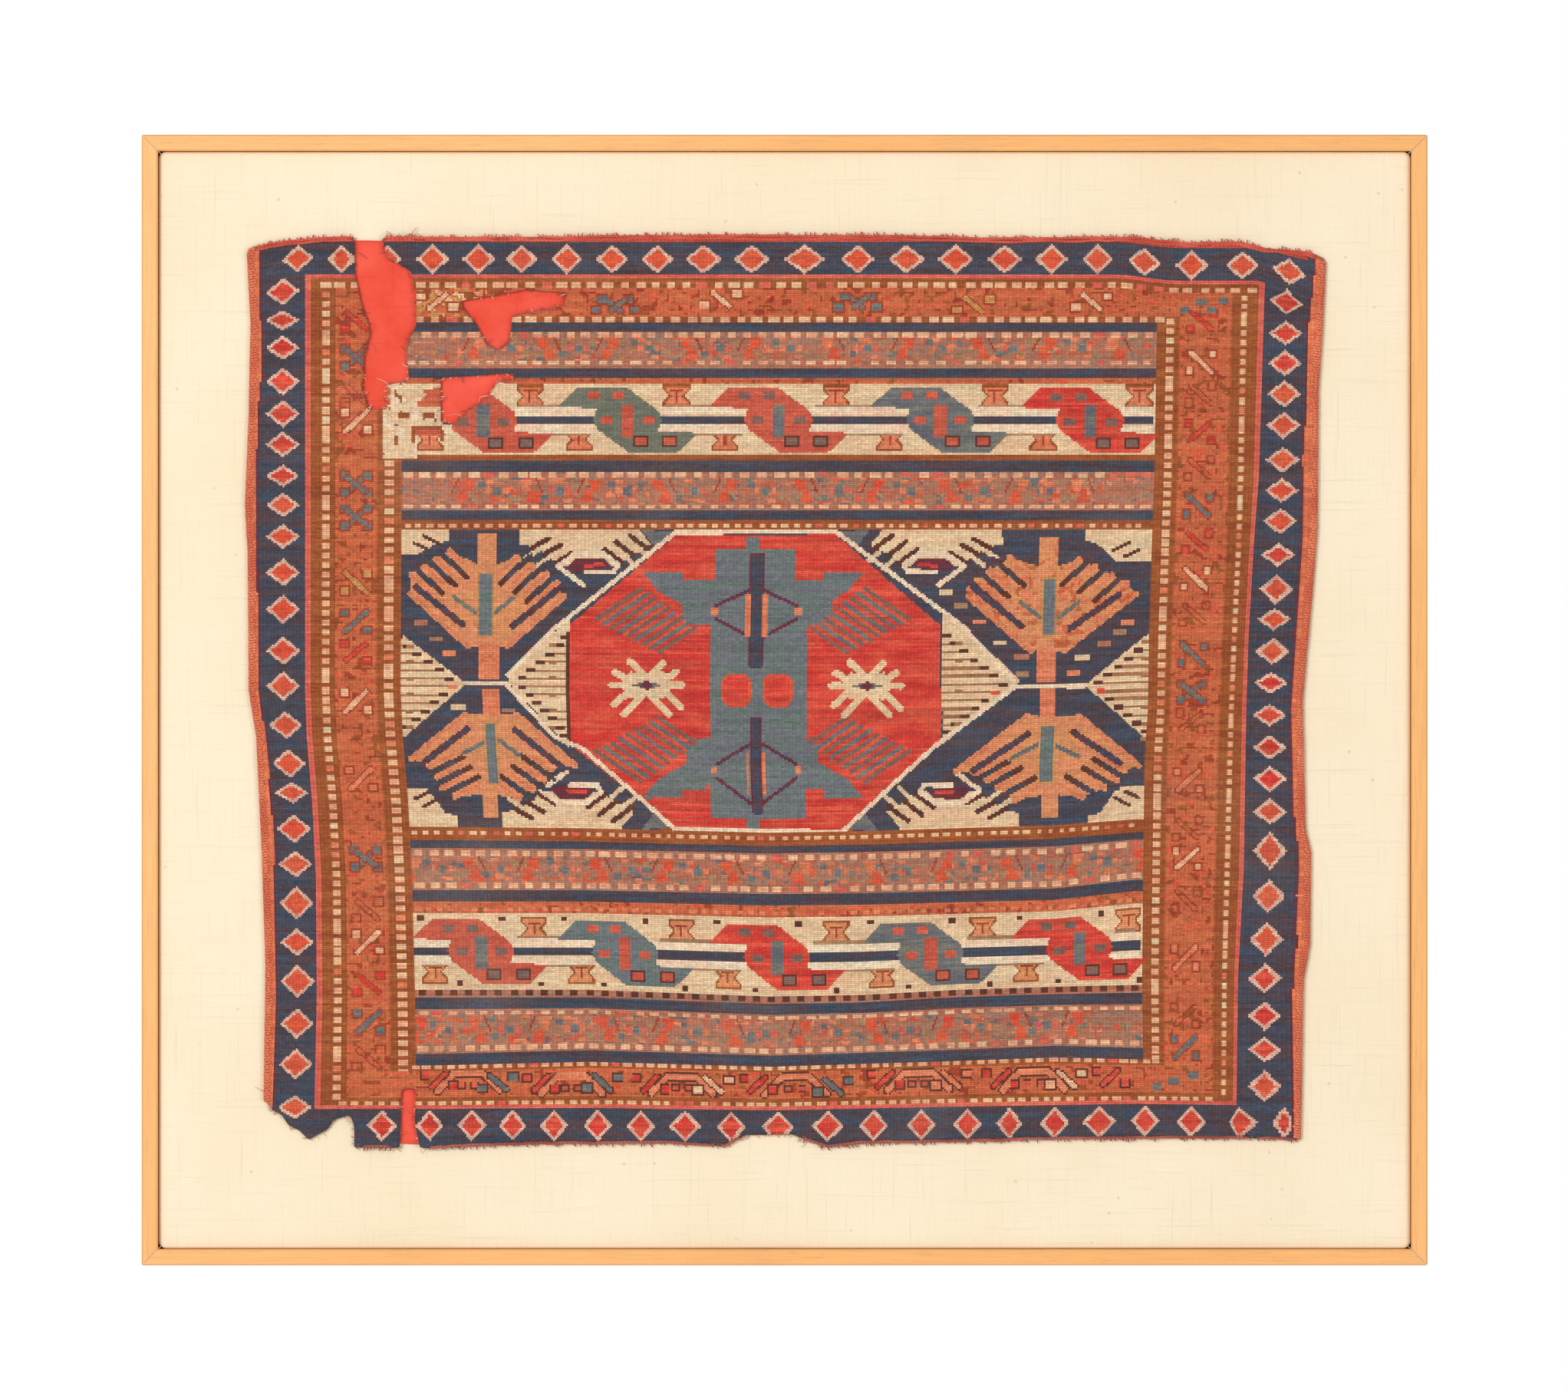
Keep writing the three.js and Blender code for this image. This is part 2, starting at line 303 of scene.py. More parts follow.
# The chart's straight lines as they lie in the worn cloth: how far each place has shifted, in chart units.
# Each table has, for some places across the chart, the shifts at places down it.
SHIFT_ACROSS = {
    325: ((330, 0), (900, 0), (960, 9), (1045, 12), (1145, 19), (1300, 22), (1440, 20)),
    337: ((330, 0), (900, 2), (960, 9), (1045, 18), (1145, 22), (1300, 25), (1440, 20)),
    397: ((330, 0), (900, 0), (960, 2), (1045, 9), (1145, 14), (1300, 15), (1440, 12)),
    524: ((330, 0), (900, -3), (960, 0), (1045, 7), (1145, 12), (1300, 16), (1440, 18)),
    1510: (
        (330, 0), (500, -3), (620, -5), (700, -8), (830, -12), (930, -13.5), (1000, -18), (1280, -21),
        (1440, -19),
    ),
    1624: (
        (330, 0), (500, -4), (620, -6), (700, -8), (830, -14), (930, -18), (1000, -20), (1280, -27),
        (1440, -28),
    ),
    1653: (
        (330, 0), (500, -5), (620, -9), (700, -15.5), (830, -23), (930, -26), (1145, -29), (1280, -37),
        (1440, -39),
    ),
    1724: (
        (330, 0), (500, -3), (620, -4), (700, -3), (830, -12), (930, -20), (1000, -17), (1145, -13),
        (1280, -19), (1440, -15),
    ),
}
SHIFT_DOWN = {
    325: ((690, 0), (1295, 0), (1380, 2), (1465, 0)),
    560: ((690, 0), (1295, 0), (1380, 1), (1465, 0)),
    760: ((690, 0), (1086, 2), (1170, 0), (1295, 0), (1380, -4), (1465, 0)),
    1005: ((690, 0), (1086, 8), (1170, 5), (1295, 9), (1380, 3), (1465, 2)),
    1130: ((690, 0), (1086, 6), (1170, 4), (1295, 7), (1380, -1), (1465, 0)),
    1260: ((690, 0), (1086, 2), (1170, 1), (1295, 0), (1380, -5), (1465, -2)),
    1390: ((690, 0), (1086, -2), (1170, -2), (1295, -4), (1380, -10), (1465, -3)),
    1500: ((690, 0), (1086, -10), (1170, -14), (1295, -6), (1380, -7), (1465, -6)),
    1724: ((690, 0), (1086, -8), (1170, -12), (1295, -6), (1380, -6), (1465, -3)),
}


def shift_from(table, u, v):
    columns = np.array(sorted(table), dtype=float)
    at_columns = np.stack([np.interp(v, *zip(*table[column])) for column in sorted(table)], axis=-1)
    place = np.clip(np.searchsorted(columns, u) - 1, 0, len(columns) - 2)
    left = np.take_along_axis(at_columns, place[..., None], axis=-1)[..., 0]
    right = np.take_along_axis(at_columns, place[..., None] + 1, axis=-1)[..., 0]
    low, high = columns[place], columns[place + 1]
    return left + (right - left) * np.clip((u - low) / (high - low), 0, 1)


def corner_sag(u, v):
    """How far the cloth's two upper corners hang down, in chart units."""
    ease = np.clip((u - 1450) / 90, 0, 1)
    right = 8 * ease * ease * (3 - 2 * ease) + 21 * np.maximum(0, (u - 1640) / 84)
    return (right + 8 * np.maximum(0, (400 - u) / 75)) * np.clip((412 - v) / 47, 0, 1)


def straightened(u, v):
    """The chart place that the worn cloth's shape brings to a place on the photo."""
    chart_u, chart_v = u, v
    for _ in range(8):
        sag = float(corner_sag(chart_u, chart_v))
        chart_u, chart_v = (
            u - float(shift_from(SHIFT_ACROSS, chart_u, chart_v)),
            v - float(shift_from(SHIFT_DOWN, chart_u, chart_v)) - sag,
        )
    return chart_u, chart_v


# The lozenges of each side: place along the side and half its length, read off the photo in pixels.
# The last two of the bottom are less wide than they were read, because the chart is stretched there.
LOZENGES_LEFT = (
    (380, 18), (417, 13), (453, 16), (497, 18), (539, 18), (579, 17), (620, 14.5), (658, 16), (699, 16),
    (746, 18), (794, 19), (848, 18.5), (894, 19), (945, 18), (995, 19), (1033, 14), (1080, 19), (1126, 17.5),
    (1177, 22), (1228, 18), (1279, 22), (1334, 20), (1387, 20), (1443, 16),
)
LOZENGES_RIGHT = (
    (393, 17), (434, 16), (473, 17), (513, 18), (554, 17.5), (599, 17), (639, 16), (679, 17), (723, 15),
    (768, 19), (807, 14.5), (849, 18), (890, 14), (932, 14.5), (974, 16), (1015, 17), (1058, 17), (1109, 25),
    (1168, 22), (1224, 22.5), (1275, 19), (1324, 19), (1368, 17), (1416, 21),
)
LOZENGES_TOP = (
    (388, 21), (445, 18), (505, 20), (564, 22), (624, 22), (680, 21), (739, 20.5), (798, 21), (857, 21),
    (917, 24.5), (980, 24), (1049, 27.5), (1118, 22.5), (1182, 24), (1246, 24), (1310, 23), (1371, 22),
    (1431, 21), (1492, 22), (1554, 22), (1620, 22), (1681, 22),
)
LOZENGES_BOTTOM = (
    (498, 19), (560, 19), (615, 20), (668, 19), (722, 19), (779, 19.5), (835, 19.5), (893, 22), (953, 20),
    (1014, 22.5), (1079, 22), (1139, 20), (1201, 20), (1261, 20), (1316, 18), (1375, 20), (1433, 23),
    (1493, 20), (1553, 21), (1615, 19), (1674, 12),
)
LOZENGE_EDGE = 4.4
LOZENGE_HALF = 22.3
# Stretches of the two sides where the lozenges were dyed redder
RED_LEFT = ((370, 640),)
RED_RIGHT = ((340, 480), (715, 730), (880, 1025), (1270, 1375))


def lozenge(chart, u, v, wide, tall, fill):
    chart.polygon(both_halves([(0, -tall), (wide, 0), (0, tall)]), "lozenge_edge", (u, v))
    wide, tall = wide - LOZENGE_EDGE * 1.4, tall - LOZENGE_EDGE * 1.2
    chart.polygon(both_halves([(0, -tall), (wide, 0), (0, tall)]), fill, (u, v))


def outer_lozenges(chart, dice):
    """The serrated lozenges in the navy outer band."""
    def fill(place, stretches):
        if any(low < place < high for low, high in stretches):
            return "red"
        return ("lozenge", "lozenge", "flame")[dice.integers(3)]

    def half_across(left, right, v):
        """Half the width on the chart of a lozenge as wide on the worn cloth as they all are."""
        shifts = [float(shift_from(SHIFT_ACROSS, u, v)) for u in (left, right)]
        return LOZENGE_HALF / (1 + (shifts[1] - shifts[0]) / (right - left))

    for table, stretches, read_at, middle, lines, widest in (
        (LOZENGES_LEFT, RED_LEFT, 369, 368, (337, 397), 27),
        (LOZENGES_RIGHT, RED_RIGHT, 1672, 1679, (1653, 1706), np.inf),
    ):
        for place, half in table:
            top, v, bottom = (straightened(read_at, v)[1] for v in (place - half, place, place + half))
            wide = min(half_across(*lines, v), widest)
            lozenge(chart, middle, v, wide, (bottom - top) / 2, fill(place, stretches))
    for place, half in LOZENGES_TOP:
        v, tall = (335.5, 17.5) if place < 400 or place > 1660 else (337.5, 19)
        lozenge(chart, place, v, half, tall, fill(place, ()))
    for place, half in LOZENGES_BOTTOM:
        lozenge(chart, straightened(place, 1467)[0], 1467, half, 20.5, "red")


# Where the navy band ends at each side: place down and place across, read off the photo in pixels, the
# first points at the right in part from comparing crops with a render
LEFT_EDGE = (
    (327, 338), (445, 341), (482, 342), (536, 337), (657, 334), (718, 336), (870, 337), (930, 342),
    (960, 348), (1039, 354), (1088, 358), (1167, 359), (1348, 359), (1424, 357),
)
RIGHT_EDGE = (
    (342, 1714), (390, 1709), (430, 1705), (506, 1703.6), (551, 1701), (597, 1697), (657, 1698), (718, 1696),
    (779, 1693), (824, 1688.5), (885, 1686), (1045, 1685.5), (1076, 1687), (1106, 1691.5), (1136, 1692),
    (1167, 1689), (1227, 1690), (1258, 1687), (1300, 1684), (1439, 1684),
)


def side_edges(chart):
    chart.worn = True
    for edge, outside in ((LEFT_EDGE, 290), (RIGHT_EDGE, 1760)):
        line = [(u, v) for v, u in ((300, edge[0][1]), *edge, (1500, edge[-1][1]))]
        chart.polygon([*line, (outside, 1500), (outside, 300)], "edge")
        chart.stroke(line, 2.6, "maroon")
    chart.worn = False


# The rust border: leaning bars with a square on each side, mostly tone on tone
def hook(chart, u, v, half, lean, yarn, thick=6, squares=(15, 11), wide=4.5, outline="rust_deep"):
    ends = [(u - half[0], v + lean * half[1]), (u + half[0], v - lean * half[1])]
    chart.stroke(ends, thick + 4, outline)
    for side in (-1, 1):
        su, sv = u + side * squares[0], v + side * lean * squares[1]
        chart.spot(su, sv, wide + 2, 6.5, outline)
        chart.spot(su, sv, wide, 4.5, yarn)
    chart.stroke(ends, thick, yarn)


def arch(chart, u, v):
    """A flat arch on slanting legs with two squares under it."""
    chart.edged([(-42, 13), (-19, -9), (19, -9), (42, 13)], 12, "umber", 8, "coral", (u, v))
    for side in (-1, 1):
        chart.spot(u + side * 9, v + 6, 6, 5, "umber")
        chart.spot(u + side * 9, v + 6, 4, 3, "coral_red")


# The bright marks, read off the photo in pixels: middle, yarn, and the way they lean
# (1 rises to the right, -1 falls to the right, 0 is a cross)
MARKS_LEFT = (
    (462, 466, "slate", 0), (471, 549, "bead", 1), (468, 631, "slate", 0), (466, 674, "slate", 0),
    (460, 759, "gold", -1), (457, 810, "slate", 1), (462, 914, "bead", 1), (470, 1015, "coral", 1),
    (474, 1119, "slate", 0), (476, 1228, "bead", 1), (478, 1332, "slate", 1),
)
MARKS_RIGHT = (
    (1574, 472, "bead", -1), (1569, 659, "slate", -1), (1567, 754, "bead", -1), (1558, 853, "slate", -1),
    (1556, 902, "slate", 0), (1554, 1017, "coral", 1), (1550, 1119, "bead", 1), (1550, 1248, "coral", 1),
    (1547, 1365, "slate", 1),
)
MARKS_TOP = (
    (570, 393, "bead", 1), (798, 397, "slate", 0), (940, 390, "bead", -1), (1114, 393, "slate", 0),
    (1269, 397, "gold", -1), (1423, 393, "bead", -1),
)
MARKS_BOTTOM = (
    (649, 1411, "slate", -1), (785, 1411, "slate", -1), (930, 1414, "bead", -1), (1086, 1416, "slate", -1),
    (1240, 1407, "coral", -1), (1390, 1406, "bead", -1),
)
# Red bars on the rust of the bottom border, and grey steps at two corners
RED_BARS = ((572, 1408), (705, 1412), (848, 1412), (988, 1413), (1154, 1407), (1305, 1406), (1448, 1404))
GREY_STEPS = (
    (1545, 404), (1566, 393), (1580, 404), (1595, 391), (1508, 1415), (1530, 1410), (1556, 1402),
)


def rust_border(chart):
    for marks, centre in ((MARKS_LEFT, 465), (MARKS_RIGHT, 1569)):
        placed_marks = [(straightened(u, v)[1], yarn, lean) for u, v, yarn, lean in marks]
        # The hooks in the ground's own tones stand by rule, at an even step
        for k, v in enumerate(np.arange(418, 1400, 48.0)):
            if min(abs(v - place) for place, _, _ in placed_marks) > 32:
                hook(chart, centre, v, (13, 11), 1 if k % 2 else -1, "rust" if k % 3 else "red", 4.5)
        for v, yarn, lean in placed_marks:
            hook(chart, centre, v, (14, 13), lean or 1, yarn)
            if lean == 0:
                hook(chart, centre, v, (12, 9), -1, yarn)
    # Each arch stands by rule halfway between a red bar and the bright mark after it
    for (u, v), mark in zip(RED_BARS, MARKS_BOTTOM):
        arch(chart, *straightened((u + mark[0]) / 2, v))
    for u, v in RED_BARS:
        hook(chart, *straightened(u, v), (10, 9), 1, "red", 5.5, (19, 7), 5, "umber")
    for marks, dark in ((MARKS_TOP, "rust_deep"), (MARKS_BOTTOM, "umber")):
        for u, v, yarn, lean in marks:
            u, v = straightened(u, v)
            hook(chart, u, v, (11, 9), lean or -1, yarn, 6, (21, 7), 6, dark)
            if lean == 0:
                hook(chart, u + 8, v, (9, 7), 1, yarn, 6, (21, 7), 6)
    for place in GREY_STEPS:
        chart.spot(*straightened(*place), 7, 5, "slate")


# The four narrow guard bands: top, bottom, and the places of their warm bars, read off the photo in
# pixels. The 707 of the last band is unsure. The bars' lean, the grey squares and the lighter bits between
# the bars are by rule.
GUARD_BANDS = (
    (440, 468, (622, 712, 795, 897, 980, 1082, 1181, 1278, 1365, 1455)),
    (624, 655, (607, 689, 771, 862, 949, 1047, 1141, 1235, 1329, 1408)),
    (1117, 1147, (537, 615, 692, 780, 867, 951, 1046, 1138, 1231, 1315, 1401, 1487)),
    (1325, 1360, (545, 622, 707, 790, 868, 952, 1046, 1140, 1232, 1327, 1402)),
)


def guard_band(chart, top, bottom, places, dice):
    chart.block(524, top, 1510, bottom, "faded")
    middle, half = (top + bottom) / 2, (bottom - top) / 2
    bars = [straightened(place, middle)[0] for place in places]
    for k, u in enumerate(bars):
        at = (u, middle), (1 if k % 2 else -1, 1)
        warm = ("flame", "coral", "lozenge")[dice.integers(3)]
        chart.polygon([(-13, -half), (4, -half), (1, 1), (-8, 1)], warm, *at)
        chart.polygon([(0, -1), (8, -1), (14, half), (-4, half)], "lozenge", *at)
        chart.stroke([(-18, half), (-2, 2)], 2.6, "thread", *at)
        chart.stroke([(10, -half), (18, 2)], 2.6, "rust_deep", *at)
    for k, (before, after) in enumerate(zip(bars, bars[1:])):
        mid, grey = (before + after) / 2, ("slate", "teal")[dice.integers(2)]
        low = half * (0.55 if k % 2 else -0.55)
        chart.spot(mid, middle, 4.5, 4.5, grey)
        chart.spot(mid - 19.5, middle + low, 4.5, 4, "slate")
        chart.spot(mid + 19.5, middle - low, 4.5, 4, "thread")
        for side in (-1, 1):
            chart.spot(mid + side * 11, middle, 3, 4, ("coral", "pink")[k % 2])
            chart.spot(mid + side * 9, middle + side * half * 0.8, 5, 2.5, "coral")


# The ivory bands: large stepped hooks, point-symmetric, with small hourglasses between
HALF_HOOK = [(-66, -42), (-1, -42), (40, -12), (45, 0), (40, 15), (92, 17)]
HOOK_EDGE = HALF_HOOK + [(-u, -v) for u, v in HALF_HOOK]
# The bars between the hooks: drawn in by, top, bottom, yarn
HOOK_BARS = (
    (0, -17, -6, "blush"), (0, 6, 17, "blush"), (0, -5.5, 5.5, "navy"), (8, -20, -17.2, "thread"),
    (8, 17.2, 20, "thread"),
)
# The small squares round a hook's middle, at average places for all hooks
HOOK_SQUARES = ((-27, 1), (27, 1), (-44, -31), (-12, -31), (17, 29), (56, 29))


def hourglass(chart, u, v, fill):
    chart.polygon(both_halves([(18, -15), (18, -8), (10, 0), (18, 8), (18, 15)]), "brown", (u, v))
    chart.polygon(both_halves([(15, -12), (15, -9), (7, 0), (15, 9), (15, 12)]), fill, (u, v))
    chart.block(u - 9, v - 8, u + 9, v - 5.5, "rust_deep")
    chart.block(u - 1.3, v - 6, u + 1.3, v + 8, "rust_deep")


def ivory_band(chart, top, bottom, centres, grounds, glasses, glass_fill, dots):
    chart.block(524, top, 1510, bottom, "ivory")
    for row, down in zip(glasses, (17, 74)):
        for u in row:
            hourglass(chart, straightened(u, top + down)[0], top + down, glass_fill)
    centres = [(straightened(u, v)[0], v) for u, v in centres]
    first, last = centres[0], centres[-1]
    between = sorted(centres + [(first[0] - 200, first[1]), (last[0] + 200, last[1])])
    for (u0, v0), (u1, v1) in zip(between, between[1:]):
        v = (v0 + v1) / 2
        left, right = max(u0 + 40, 526), min(u1 - 40, 1508)
        for inset, over, under, yarn in HOOK_BARS:
            chart.block(left + inset, v + over, right - inset, v + under, yarn)
    for (u, v), ground in zip(centres, grounds):
        bar, square = ("slate", "dusk") if "red" in ground else ("coral_red", "coral_red")
        chart.polygon(HOOK_EDGE, ground, (u, v))
        chart.block(u - 8, v - 20, u + 8, v + 22, bar)
        for across, down in HOOK_SQUARES:
            if down > 1:
                chart.spot(u + across, v + down, 10, 7.5, "umber")
            chart.spot(u + across, v + down, 7.5, 5, square)
        if dots:
            for across, down in ((81, 43), (-29, 42), (-81, -43), (29, -42)):
                chart.block(u + across - 4, v + down - 4, u + across + 4, v + down + 3, "umber")


# The middle field
FIELD_MIDDLE = (981.5, 893)


def outlined_field(chart):
    chart.polygon([
        (744, 813), (880, 698), (1089, 696), (1226, 815), (1226, 969), (1098, 1080), (880, 1079), (744, 971),
    ], "red")
    chart.block(739, 822, 744, 971, "umber")
    for sides in (
        [(662, 879), (723, 819), (880, 694), (1089, 692), (1255, 816), (1322, 888)],
        [(662, 894), (723, 960), (760, 976), (880, 1081), (1099, 1083), (1223, 969), (1322, 896)],
        [(608, 891), (662, 891)],
        [(1320, 894), (1414, 894)],
    ):
        chart.stroke(sides, 5.8, "blush")


def comb_triangle(chart, tip, base_u, base_top, base_bottom, mark):
    """An ivory triangle crossed by fine dark lines, each with a thick end by the sloping side."""
    chart.polygon([tip, (base_u, base_top), (base_u, base_bottom)], "ivory")
    towards = 1 if tip[0] > base_u else -1
    length = abs(tip[0] - base_u)
    for k, v in enumerate(np.arange(base_top + 13, base_bottom - 8, 10.6)):
        if v < tip[1]:
            reach = length * (v - base_top) / (tip[1] - base_top)
        else:
            reach = length * (base_bottom - v) / (base_bottom - tip[1])
        end = base_u + towards * max(6, reach - 13)
        chart.block(min(base_u, end), v - 1.2, max(base_u, end), v + 1.3, "comb_line")
        chart.spot(end, v, 6, 2.5, mark if abs(v - tip[1] - 8) < 6 else "umber")
        if k % 2:
            chart.spot(base_u + towards * 22, v, 5, 2.4, "comb_line")


def tree_side(chart, trunk, tips, low, foot, slot, run, arm):
    """One side of a tree spread like a hand.

    Its fingers run in from the tips, and a long slot lies above the lowest one."""
    middle_u, top_v = trunk
    chart.polygon([(middle_u, foot[1]), foot, low, *tips[::-1], (middle_u, top_v)], "tan")
    for u, v in tips:
        for share, width, yarn in ((0.7, 8.5, "tan"), (1.1, 3.4, "coral")):
            chart.stroke([(u, v), (u + run[0] * share, v + run[1] * share)], width, yarn)
    chart.edged([low, foot], 8, "tan", 3.5, "coral")
    for (u0, v0), (u1, v1) in zip(tips, tips[1:]):
        u, v = (u0 + u1) / 2, (v0 + v1) / 2
        for back, on, width, yarn in ((0.25, 1.4, 7.5, "umber"), (0.4, 0.95, 5.2, "navy")):
            ends = [(u - run[0] * back, v - run[1] * back), (u + run[0] * on, v + run[1] * on)]
            chart.stroke(ends, width, yarn)
    chart.edged(slot, 8.5, "maroon", 5, "navy")
    chart.edged(arm, 8, "gold", 5.5, "slate")


# The four trees, read off the photo in pixels. Each has its trunk's top, the trunk over the fan, the
# blue-green bar and the trunk under the fan (left, top, right, bottom), and its two sides: tips, lowest tip,
# foot, slot, the way that the fingers run, and arm. The tip (1316, 727) stands for two readings, (695, 1029)
# is set between its neighbours, and (1264, 768) is placed.
TREES = (
    (
        (634, 741), (622, 695, 646, 746), (625, 748, 640, 828), (623, 840, 651, 886),
        (((586, 718), (568, 728), (553, 738), (536, 749)), (535, 773), (610, 842),
         ((542, 765), (603, 814)), (23, 21), ((591, 778), (620, 798))),
        (((674, 726), (694, 736), (712, 748), (726, 760)), (735, 777), (661, 842),
         ((731, 765), (668, 816)), (-23, 21), ((669, 779), (646, 798))),
    ),
    (
        (640, 1035), (628, 1025, 650, 1067), (633, 942, 649, 1020), (629, 897, 651, 934),
        (((593, 1038), (576, 1026), (571, 1013), (560, 998)), (536, 989), (607, 931),
         ((553, 993), (609, 950)), (28, -14), ((605, 981), (630, 968))),
        (((677, 1041), (695, 1029), (709, 1016), (719, 1003)), (750, 998), (673, 931),
         ((734, 1001), (671, 951)), (-24, -17), ((676, 984), (651, 965))),
    ),
    (
        (1367, 741), (1355, 700, 1379, 746), (1361, 754, 1375, 827), (1352, 846, 1375, 888),
        (((1316, 727), (1290, 743), (1274, 756), (1264, 768)), (1262, 777), (1344, 848),
         ((1268, 765), (1332, 816)), (23, 20), ((1330, 785), (1357, 805))),
        (((1407, 729), (1427, 738), (1450, 749), (1469, 760)), (1481, 774), (1387, 848),
         ((1459, 775), (1395, 819)), (-23, 20), ((1406, 785), (1380, 805))),
    ),
    (
        (1366, 1035), (1357, 1018, 1379, 1066), (1357, 947, 1373, 1018), (1355, 897, 1375, 935),
        (((1322, 1043), (1300, 1027), (1287, 1017), (1271, 1008)), (1246, 1006), (1340, 933),
         ((1269, 1004), (1340, 957)), (27, -15), ((1318, 989), (1355, 969))),
        (((1411, 1039), (1440, 1027), (1456, 1017), (1466, 1004)), (1485, 998), (1406, 933),
         ((1460, 994), (1399, 954)), (-25, -15), ((1406, 986), (1372, 969))),
    ),
)


def four_trees(chart):
    for trunk, above, (left, top, right, bottom), below, *sides in TREES:
        for side in sides:
            tree_side(chart, trunk, *side)
        chart.block(*above, "tan")
        chart.block(*below, "coral")
        chart.block(left - 2.5, top - 2, right + 2.5, bottom + 2, "gold")
        chart.block(left, top, right, bottom, "teal")


def hooked_form(chart, *at):
    """An ivory form on the field's edge: toothed slopes and a bent hook for its head."""
    slopes = [(-88, -8), (-88, 20), (-66, 24), (-34, 48), (36, 48), (84, 21), (67, 0), (67, -8)]
    chart.polygon(slopes, "ivory", *at)
    for ends in ([(-64, 28), (-80, 38)], [(-50, 38), (-64, 48)], [(72, 30), (88, 42)], [(54, 40), (68, 52)]):
        chart.stroke(ends, 6, "ivory", *at)
    for ends in (
        [(-72, 25), (-50, 13)], [(-56, 33), (-34, 21)], [(-40, 44), (-20, 32)],
        [(82, 28), (56, 9)], [(60, 34), (38, 17)], [(46, 44), (23, 27)],
    ):
        chart.stroke(ends, 6.5, "umber", *at)
    chart.polygon([(-26, 50), (-13, 38), (20, 38), (31, 47), (24, 52), (-18, 56)], "maroon", *at)
    head = [(0, 56), (35, 56), (41, 47), (20, 32), (-14, 32), (-38, 49), (-5, 73)]
    chart.stroke(head, 6.5, "blush", *at)
    chart.stroke([(-2, 48), (20, 47)], 5, "red", *at)


def corner_form(chart, wide, tall, *at):
    slope = [(wide, -8), (wide, 15), (wide - 16, 20), (wide - 40, tall)]
    chart.polygon([(-10, -8), *slope, (-10, tall)], "ivory", *at)
    for ends in ([(16, tall - 14), (34, tall - 6)], [(28, tall - 24), (48, tall - 14)]):
        chart.stroke(ends, 4.5, "umber", *at)


def small_star(chart, centre):
    """The ivory star: a flat six-sided heart with ten short arms."""
    chart.polygon(both_halves([(0, -14), (22, -17), (34, 0), (22, 19), (0, 16)]), "ivory", centre)
    for ends in (
        [(0, -8), (-22, -30)], [(0, -8), (21, -28)], [(-22, -5), (-41, -16)], [(21, -5), (38, -16)],
        [(-26, 1), (-46, 1)], [(26, 1), (45, 1)], [(-22, 8), (-43, 26)], [(22, 8), (44, 30)],
        [(-6, 15), (-30, 39)], [(6, 15), (29, 39)],
    ):
        chart.stroke(ends, 9, "ivory", centre)
    chart.polygon(both_halves([(6, -3), (20, 1), (6, 5)]), "slate", centre)
    chart.polygon(both_halves([(0, -6), (9, 1), (0, 8)]), "maroon", centre)


def feather_comb(chart, flip):
    """Slanting stripes at the end of an arm, for the upper left and its three mirror images."""
    for k in range(9):
        u, v = -204 + 10.2 * k, -86 + 5.4 * k
        end_u, end_v = u + 58 - 1.4 * k, v - 40 + 1.0 * k
        dark, light = "slate" if k % 2 else "dusk", "red" if k % 3 else "flame"
        chart.stroke([(u, v), (end_u, end_v)], 5.4, dark, FIELD_MIDDLE, flip)
        chart.stroke([(u + 5, v + 4), (end_u + 5, end_v + 5)], 4.4, light, FIELD_MIDDLE, flip)


def centre_cross(chart):
    """The blue-green column with its four arms, poles and open lozenges."""
    chart.blocks((
        (973, 700, 991, 716), (973, 1060, 991, 1079), (932, 715, 1037, 1066), (926, 815, 1051, 962),
        (890, 757, 1085, 815), (895, 962, 1066, 1023), (926, 1020, 1051, 1066),
    ), "teal")
    arm = [(92, -147), (144, -147), (124, -123), (86, -101), (66, -78), (60, -136), (92, -136)]
    for across in (-1, 1):
        for down in (-1, 1):
            chart.polygon(arm, "teal", FIELD_MIDDLE, (across, -down))
            feather_comb(chart, (across, down))
    # The two poles, read off the photo in pixels: top, bottom, the lozenge's middle and its reach
    for top, bottom, middle_v, above, below in ((722, 868, 797, 30, 35), (936, 1060, 1004, 36, 45)):
        chart.block(977, top - 2, 995, bottom, "maroon")
        for side in (-1, 1):
            near, far, post, knob = (986 + side * away for away in (5, 52, 10.5, 55))
            chart.stroke([(near, middle_v - above), (far, middle_v - 8)], 4.4, "maroon")
            chart.stroke([(far, middle_v + 10), (near, middle_v + below)], 4.4, "maroon")
            chart.block(post - 2.8, middle_v - 24, post + 2.8, middle_v + 33, "coral")
            chart.block(knob - 4.5, middle_v - 5, knob + 4.5, middle_v + 4, "coral")
        chart.block(980, top, 992, bottom + 2, "navy")
    for u in (960, 1014):
        chart.polygon(both_halves([(12, -20), (20, -12), (20, 12), (12, 22)]), "flame", (u, 899))
        chart.polygon(both_halves([(10, -17), (16, -10), (16, 10), (10, 18)]), "red", (u, 899))


def confetti(chart):
    """Small loose bars of light yarn beside the trees."""
    places = (
        (1252, 789), (1277, 810), (1304, 837), (1332, 856), (1332, 877), (1399, 877), (1411, 856),
        (1440, 839), (1459, 823), (1470, 810), (1234, 772), (548, 811), (569, 832), (586, 850),
        (597, 921), (663, 925),
    )
    for k, (u, v) in enumerate(places):
        chart.block(u - 9, v - 3, u + 9, v + 4, ("thread", "coral", "ivory", "faded")[k % 4])


